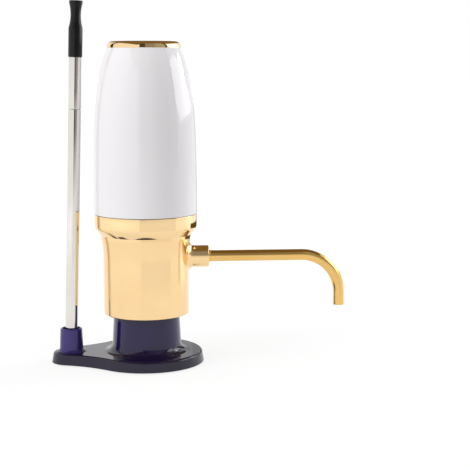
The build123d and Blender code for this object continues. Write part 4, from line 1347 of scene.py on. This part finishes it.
@dataclass(frozen=True)
class Spout:
    """Bent spout tube and the ring where it leaves the boss.

    Attributes:
        start: Distance of the hidden end from the axis.
        reach: Distance of the upright end from the axis.
        height: Height of the level run.
        bend: Radius of the bend.
        drop: How far the tip lies under the level run.
        radius: Tube's radius.
        bore: Its bore.
        boss_reach: Distance of the boss's end.
        ring: Ring's radius.
        ring_length: Ring's length.
    """

    start: float = 14.0
    reach: float = 115.0
    height: float = 62.5
    bend: float = 22.75
    drop: float = 30.5
    radius: float = 3.3
    bore: float = 2.7
    boss_reach: float = 36.9
    ring: float = 3.65
    ring_length: float = 0.9

    @property
    def level(self) -> float:
        """Length of the level run."""
        return self.reach - self.bend - self.start

    @property
    def round_bend(self) -> float:
        """Length of the bend along its middle."""
        return self.bend * math.pi / 2

    def carried(self, along: np.ndarray, radius: np.ndarray, turn: np.ndarray) -> np.ndarray:
        """Carries circles along the spout's centre line.

        The line runs level, turns down through a quarter circle and drops. The heading h goes from 0
        to 90 degrees in the bend, and a circle's point is centre + radius (cosine t side + sine t up),
        up being square to the line in its own plane.

        Args:
            along: Distance of each row along the line.
            radius: Radius of each row.
            turn: Angles round the tube.

        Returns:
            Grid of rows along the tube.
        """
        heading = np.clip((along - self.level) / self.bend, 0.0, math.pi / 2)
        after = np.maximum(along - self.level - self.round_bend, 0.0)
        centre_x = self.start + np.minimum(along, self.level) + self.bend * np.sin(heading)
        centre_z = self.height - self.bend * (1 - np.cos(heading)) - after
        lift = radius[:, None] * np.sin(turn)
        side = radius[:, None] * np.cos(turn)
        return np.stack([
            centre_x[:, None] + lift * np.sin(heading)[:, None],
            side,
            centre_z[:, None] + lift * np.cos(heading)[:, None],
        ], axis=-1)

    def tube(self) -> bpy.types.Object:
        """Builds the tube: outer wall out, round its tip and back along the bore."""
        length = self.level + self.round_bend + self.drop - self.bend
        tip = rounded([
            (self.radius, length - 1.0, 0.0), (self.radius, length, 0.12),
            (self.bore, length, 0.12), (self.bore, length - 1.0, 0.0),
        ], closed=False)
        run = np.linspace(0.0, self.level - 0.25, 27)
        bend = np.linspace(self.level, self.level + self.round_bend, 46)
        stations = np.concatenate([run, bend, [length - 4.0]])
        outside, inside = (np.full(len(stations), size) for size in (self.radius, self.bore))
        radius = np.concatenate([outside, tip[:, 0], inside])
        along = np.concatenate([stations, tip[:, 1], stations[::-1]])
        grid = self.carried(np.append(along, along[0]), np.append(radius, radius[0]), full_turn(72))
        return Skin().add(grid).piece("SpoutTube")

    def ferrule(self) -> bpy.types.Object:
        """Builds the ring: its rounded section turned about the spout's level run."""
        bore, end = self.radius + 0.02, self.boss_reach + self.ring_length
        line = rounded([
            (bore, self.boss_reach, 0.0), (self.ring, self.boss_reach, 0.1), (self.ring, end, 0.2),
            (bore, end, 0.0),
        ])
        grid = turned(line, full_turn(72))
        upright = np.stack([grid[..., 2], grid[..., 0], grid[..., 1] + self.height], axis=-1)
        return Skin().add(upright).piece("SpoutFerrule")

    def build(self, wardrobe: Wardrobe) -> None:
        """Builds and hands over the two pieces."""
        wardrobe.hand_over(self.tube(), GOLD_SPOUT, "aerator", "spout_tube")
        wardrobe.hand_over(self.ferrule(), GOLD_SPOUT, "aerator", "spout_ferrule")


@dataclass(frozen=True)
class BatteryCover:
    """White cover with its gold cap ring and push button.

    Attributes:
        foot: Height of the lower edge.
        top: Height of the upper edge.
        foot_radius: Radius at the lower edge.
        top_radius: Radius at the upper edge.
        wall: Wall thickness.
        lip: Height of the lip's underside.
        mouth: Radius of the hole in the lip.
        rise: Shares of the height at which the side is given.
        bulge: Share of the spread at each of them.
        spigot: Radius of the cap's spigot in the lip.
        cap_bore: Radius of the cap's hole.
        cap_top: Height of the cap's top.
        cap_round: Rounding of its edge.
        stem: Radius of the button's stem.
        stem_foot: Height of the stem's end.
        button_under: Underside of the button's top.
        skirt_bore: Inner radius of its skirt, and radius of its dished top.
        skirt_foot: Height of the skirt's lower edge.
        flange: Radius of the flange that holds the button in.
        flange_top: Top of the flange.
        button: Radius of the button.
        button_top: Height of its rim.
        rim: Radius where the rim starts to slope in.
        dish: Depth of the dish.
    """

    foot: float = 88.6
    top: float = 184.2
    foot_radius: float = 30.3
    top_radius: float = 21.4
    wall: float = 1.8
    lip: float = 182.4
    mouth: float = 15.92
    rise: tuple[float, ...] = (0.0, 0.202, 0.4215, 0.6036, 0.712, 0.7845, 0.857, 0.928, 1.0)
    bulge: tuple[float, ...] = (1.0, 0.978, 0.933, 0.843, 0.719, 0.607, 0.461, 0.27, 0.0)
    spigot: float = 15.9
    cap_bore: float = 14.6
    cap_top: float = 188.0
    cap_round: float = 2.8
    stem: float = 2.8
    stem_foot: float = 174.6
    button_under: float = 185.65
    skirt_bore: float = 12.6
    skirt_foot: float = 180.6
    flange: float = 15.4
    flange_top: float = 182.38
    button: float = 14.3
    button_top: float = 187.85
    rim: float = 13.0
    dish: float = 0.5

    def side(self, inset: float, top: float) -> np.ndarray:
        """The side's smooth line from foot to top, drawn in by an inset.

        Args:
            inset: How far it is drawn in.
            top: Height of its end.

        Returns:
            Points as (radius, height).
        """
        radius = self.top_radius + (self.foot_radius - self.top_radius) * np.array(self.bulge) - inset
        height = self.foot + (top - self.foot) * np.array(self.rise)
        return smooth_line(np.stack([radius, height], axis=-1), 60)

    def shell(self) -> bpy.types.Object:
        """Builds the shell: outer side up, in over the lip and down the inner side."""
        outer = self.side(0.0, self.top)
        inner = self.side(self.wall, self.lip)[::-1]
        lip = rounded([
            tuple(outer[-2]) + (0.0,), tuple(outer[-1]) + (0.18,), (self.mouth, self.top, 0.0),
            (self.mouth, self.lip, 0.0), tuple(inner[0]) + (0.0,),
        ], closed=False)
        foot = rounded([
            tuple(inner[-2]) + (0.0,), tuple(inner[-1]) + (0.2,), tuple(outer[0]) + (0.35,),
            tuple(outer[1]) + (0.0,),
        ], closed=False)
        line = np.concatenate([outer[1:-2], lip, inner[1:-2], foot])
        return Skin().add(turned(line, full_turn(256))).piece("CoverShell", 40.0)

    def cap(self) -> bpy.types.Object:
        """Builds the cap ring with its rounded edge and spigot."""
        line = rounded([
            (self.cap_bore, self.lip, 0.0), (self.spigot, self.lip, 0.0), (self.spigot, self.top, 0.0),
            (self.top_radius, self.top, 0.12), (self.top_radius, self.cap_top, self.cap_round),
            (self.cap_bore, self.cap_top, 0.3),
        ])
        return Skin().add(turned(line, full_turn(256))).piece("CapRing")

    def push_button(self) -> bpy.types.Object:
        """Builds the button: stem, skirt with its flange, rounded edge and a top dished by a sphere."""
        skirt = rounded([
            (0.0, self.stem_foot, 0.0), (self.stem, self.stem_foot, 0.3), (self.stem, self.button_under, 0.0),
            (self.skirt_bore, self.button_under, 0.0), (self.skirt_bore, self.skirt_foot, 0.0),
            (self.flange, self.skirt_foot, 0.2), (self.flange, self.flange_top, 0.0),
            (self.button, self.flange_top, 0.0), (self.button, self.button_top, 0.5),
            (self.rim, self.button_top, 0.0),
        ], closed=False)
        reach = np.linspace(self.skirt_bore, 0.0, 22)
        ball = (self.skirt_bore**2 + self.dish**2) / (2 * self.dish)
        height = self.button_top - self.dish + ball - np.sqrt(ball**2 - reach**2)
        line = np.concatenate([skirt, np.stack([reach, height], axis=-1)])
        return Skin().add(turned(line, full_turn(160))).piece("PowerButton", 24.0)

    def build(self, wardrobe: Wardrobe) -> None:
        """Builds and hands over the three pieces."""
        gold, cover = Slot.POLISHED_GOLD, "battery_cover"
        wardrobe.hand_over(self.shell(), WHITE_GLOSS, cover, "cover_shell")
        wardrobe.hand_over(self.cap(), GOLD_POLISHED, cover, "cap_ring")
        wardrobe.hand_over(self.push_button(), GOLD_POLISHED, "power_button", "power_button")


@dataclass(frozen=True)
class Works:
    """Inner parts, which keep their CAD shapes and get their finishes here.

    Attributes:
        finishes: Each finish with the nodes that wear it.
    """

    finishes: tuple[tuple[Finish, tuple[str, ...]], ...] = (
        (STEEL_TUBE, ("dip_tube_nipple",)),
        (STEEL_PLAIN, ("drive_pin", "motor_shaft", "chassis_screws", "lower_contacts", "upper_contacts",
                       "button_spring")),
        (MOTOR_METAL, ("motor_can",)),
        (CLEAR_SILICONE, ("bottle_stopper", "air_check_valve", "air_hose")),
        (BLACK_RUBBER, ("spout_seal", "pump_diaphragm", "cover_seal")),
        (BLACK_PLASTIC, ("neck_guide", "motor_end_cap", "chassis", "battery_holder", "push_switch",
                         "button_cup")),
        (GREY_PLASTIC, ("flow_block", "pump_head", "valve_plate", "pump_housing")),
        (WHITE_PLASTIC, ("slide_bush", "rocker", "eccentric", "switch_plunger")),
        (BOARD_GREEN, ("switch_board",)),
        (CELL_SLEEVE, ("battery_cells",)),
        (WIRE_COVER, ("lead_wires",)),
    )

    def build(self, wardrobe: Wardrobe) -> None:
        """Dresses the nodes."""
        for finish, nodes in self.finishes:
            for node in nodes:
                wardrobe.dress(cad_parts[node], finish)
            LOG.info("%s on %s", finish.name, ", ".join(nodes))


# Studio

@dataclass(frozen=True)
class Card:
    """Upright curved card that only reflections see, well away from the object.

    Attributes:
        name: Name of the card.
        bearings: Left and right edge at the foot, from the camera's side rightwards about the post.
        low: Height of its foot in metres.
        high: Height of its top in metres.
        radius: Its distance from the post's axis in metres.
        shade: Its brightness.
        foot_shade: Its brightness at the foot, where that differs.
        top_bearings: Left and right edge at the top, where they differ.
    """

    name: str
    bearings: tuple[float, float]
    low: float
    high: float
    radius: float
    shade: Colour
    foot_shade: Colour | None = None
    top_bearings: tuple[float, float] | None = None


@dataclass(frozen=True)
class Lamp:
    """Soft area lamp aimed at the unit.

    Attributes:
        name: Name of the lamp.
        place: Its place in metres.
        size: Its width and height in metres.
        watts: Its power.
    """

    name: str
    place: Place
    size: tuple[float, float]
    watts: float


@dataclass(frozen=True)
class Studio:
    """Pale floor, plain world, soft lamps, reflection cards and the camera.

    Attributes:
        eye: Camera's place in metres.
        view: Camera's direction.
        lens: Focal length for a 36 mm frame.
        cards: Cards that stand round the object.
        lamps: Lamps over it.
        roof: Brightness of the card overhead.
        roof_height: Its height in metres.
        roof_corners: Its corners in metres.
        fade: Heights between which the cards change from their foot's brightness, in metres.
        world_light: Strength of the world as light.
        floor_light: Strength of the floor's glow as light.
        floor_near: Its strength to the eye near the object.
        floor_far: Its strength to the eye farther off.
        floor_fade: Distances between which it changes, in metres.
        floor_half: Half the floor's side in metres.
        floor_drop: How far it lies under the object in metres.
        aim: Point that the lamps look at.
    """

    eye: Place = (-0.00906, -0.70503, 0.17662)
    view: Place = (0.0863, 0.9860, -0.1425)
    lens: float = 92.47
    cards: tuple[Card, ...] = (
        Card("CardMiddle", (-14.0, 3.0), 0.0, 0.5, 0.28, (0.07, 0.062, 0.05), (0.95, 0.95, 0.95)),
        Card("CardRight", (3.0, 34.0), 0.0, 0.5, 0.28, (0.30, 0.29, 0.27), (0.95, 0.95, 0.95)),
        Card("CardFarRight", (34.0, 66.0), 0.0, 0.5, 0.28, (0.41, 0.4, 0.38), (0.95, 0.95, 0.95)),
        Card("CardEdge", (66.0, 74.0), 0.1, 0.5, 0.28, (0.05, 0.045, 0.04), (0.85, 0.84, 0.82)),
        Card("CardBehind", (150.0, 174.0), 0.0, 0.15, 0.5, (0.58, 0.58, 0.58)),
        Card("CardBehindLeft", (174.0, 180.0), 0.0, 0.15, 0.5, (0.75, 0.75, 0.75)),
        Card("CardLow", (112.0, 152.0), 0.03, 0.06, 0.2, (0.10, 0.05, 0.01)),
        Card("GlowRight", (102.0, 122.0), 0.0, 0.09, 0.28, (1.35, 1.35, 1.4)),
        Card("Window", (85.0, 134.0), 0.165, 0.42, 0.52, (3.4, 3.4, 3.5), top_bearings=(50.0, 98.0)),
        Card("WindowPane", (110.0, 123.0), 0.26, 0.35, 0.5, (6.5, 6.5, 6.7)),
    )
    roof: Colour = (0.20, 0.135, 0.05)
    lamps: tuple[Lamp, ...] = (
        Lamp("KeyLamp", (-0.9, -0.5, 0.6), (0.6, 0.6), 6.0),
        Lamp("TopLamp", (0.0, -0.1, 1.2), (0.9, 0.9), 3.6),
        Lamp("SideLamp", (0.9, 0.35, 0.35), (0.25, 0.7), 4.2),
    )
    roof_height: float = 0.55
    roof_corners: tuple[tuple[float, float], ...] = ((-0.35, -0.75), (0.5, -0.75), (0.5, 1.4), (-0.35, 1.4))
    fade: tuple[float, float] = (0.065, 0.14)
    world_light: float = 0.56
    floor_light: float = 0.55
    floor_near: float = 0.79
    floor_far: float = 0.93
    floor_fade: tuple[float, float] = (0.1, 0.8)
    floor_half: float = 12.0
    floor_drop: float = 0.0002
    aim: Place = (0.02, 0.0, 0.1)

    def camera(self) -> None:
        """Places the camera, upright and without tilt about its view."""
        data = bpy.data.cameras.new("Camera")
        data.lens = self.lens
        data.sensor_width = 36.0
        data.clip_start = 0.01
        made = linked("Camera", data)
        made.location = self.eye
        made.rotation_euler = Vector(self.view).to_track_quat("-Z", "Y").to_euler()
        bpy.context.scene.camera = made

    @staticmethod
    def seen(nodes: bpy.types.Nodes, links: bpy.types.NodeLinks) -> bpy.types.NodeSocket:
        """Adds nodes that tell sight from light.

        Args:
            nodes: Nodes of the tree.
            links: Links of the tree.

        Returns:
            1 for camera, glossy and transmission rays, otherwise 0.
        """
        path = nodes.new("ShaderNodeLightPath")
        result = path.outputs["Is Camera Ray"]
        for kind in ("Is Glossy Ray", "Is Transmission Ray"):
            either = nodes.new("ShaderNodeMath")
            either.operation = "MAXIMUM"
            links.new(result, either.inputs[0])
            links.new(path.outputs[kind], either.inputs[1])
            result = either.outputs[0]
        return result

    def world(self) -> None:
        """White to the camera and in reflections, softer as light."""
        world = bpy.data.worlds.new("StudioWorld")
        bpy.context.scene.world = world
        world.use_nodes = True
        nodes, links = world.node_tree.nodes, world.node_tree.links
        level = nodes.new("ShaderNodeMapRange")
        level.inputs["To Min"].default_value = self.world_light
        links.new(self.seen(nodes, links), level.inputs["Value"])
        back = nodes["Background"]
        back.inputs["Color"].default_value = (1.0, 1.0, 1.0, 1.0)
        links.new(level.outputs["Result"], back.inputs["Strength"])

    def floor(self) -> None:
        """White floor that keeps a soft shadow: near the object it glows less and takes more of its light."""
        half = self.floor_half
        sides = ((-half, -half), (half, -half), (half, half), (-half, half))
        mesh = bpy.data.meshes.new("Floor")
        mesh.from_pydata([(*side, -self.floor_drop) for side in sides], [], [(0, 1, 2, 3)])
        made = linked("Floor", mesh)
        graph = Graph("floor")
        level = graph.nodes.new("ShaderNodeMapRange")
        level.inputs["To Min"].default_value = self.floor_light
        graph.links.new(self.seen(graph.nodes, graph.links), level.inputs["Value"])
        reach = graph.nodes.new("ShaderNodeVectorMath")
        reach.operation = "LENGTH"
        graph.links.new(graph.place(), reach.inputs[0])
        glow = graph.spread(reach.outputs["Value"], self.floor_near, self.floor_far, *self.floor_fade)
        graph.links.new(glow, level.inputs["To Max"])
        graph.feed("Emission Strength", level.outputs["Result"])
        graph.feed("Roughness", graph.spread(graph.noise(60.0, 3.0), 0.6, 0.7))
        graph.put(Base_Color=(0.2, 0.2, 0.2), Emission_Color=(1.0, 1.0, 1.0), Specular_IOR_Level=0.0)
        mesh.materials.append(graph.material)

    def reflections(self) -> None:
        """Stands the cards round the object: points at radius (sine, -cosine) of the bearing."""
        for card in self.cards:
            left, right = card.bearings
            top_left, top_right = card.top_bearings or card.bearings
            rise, aside = np.meshgrid(np.linspace(0.0, 1.0, 12), np.linspace(0.0, 1.0, 24), indexing="ij")
            edge = left + (top_left - left) * rise
            bearing = np.radians(edge + (right + (top_right - right) * rise - edge) * aside)
            height = card.low + (card.high - card.low) * rise
            points = card.radius * np.stack([np.sin(bearing), -np.cos(bearing)], axis=-1)
            points = np.concatenate([points, height[..., None]], axis=-1)
            quads = quads_of(np.arange(rise.size).reshape(rise.shape))
            self.stand_up(card.name, points.reshape(-1, 3), quads.reshape(-1, 4), card.shade,
                          card.foot_shade or card.shade)
        roof = np.array([(*corner, self.roof_height) for corner in self.roof_corners])
        self.stand_up("CardRoof", roof, np.array([[0, 1, 2, 3]]), self.roof, self.roof)

    def stand_up(self, name: str, points: np.ndarray, quads: np.ndarray, shade: Colour,
                 foot_shade: Colour) -> None:
        """Makes one card that only reflections see.

        Args:
            name: Name of the card.
            points: Its points in metres.
            quads: Its faces.
            shade: Its brightness.
            foot_shade: Its brightness near the floor.
        """
        mesh = bpy.data.meshes.new(name)
        mesh.from_pydata(points.tolist(), [], quads.tolist())
        made = linked(name, mesh)
        graph = Graph(name + "_face")
        rise = graph.spread(graph.along("Z"), 0.0, 1.0, *self.fade)
        graph.feed("Emission Color", graph.blend(rise, foot_shade, shade))
        graph.put(Base_Color=(0.0, 0.0, 0.0), Emission_Strength=1.0, Specular_IOR_Level=0.0)
        mesh.materials.append(graph.material)
        made.visible_camera = made.visible_diffuse = made.visible_shadow = False
        made.visible_transmission = made.visible_volume_scatter = False

    def light(self) -> None:
        """Hangs the lamps, each aimed at the middle of the unit."""
        for lamp in self.lamps:
            data = bpy.data.lights.new(lamp.name, "AREA")
            data.shape = "RECTANGLE"
            data.size, data.size_y = lamp.size
            data.energy = lamp.watts
            made = linked(lamp.name, data)
            made.location = lamp.place
            made.visible_glossy = False
            aim = Vector(self.aim) - Vector(lamp.place)
            made.rotation_euler = aim.to_track_quat("-Z", "Y").to_euler()

    def build(self) -> None:
        """Sets up the whole studio."""
        self.camera()
        self.world()
        self.floor()
        self.reflections()
        self.light()
        bpy.context.scene.view_settings.view_transform = "Standard"


def main() -> None:
    """Builds the model in order."""
    logging.basicConfig(level=logging.INFO, format="%(message)s")
    wardrobe = Wardrobe()
    for assembly in (Stand(), DipTube(), Sleeve(), Spout(), BatteryCover(), Works()):
        assembly.build(wardrobe)
    Studio().build()


if __name__ == "__main__":
    main()
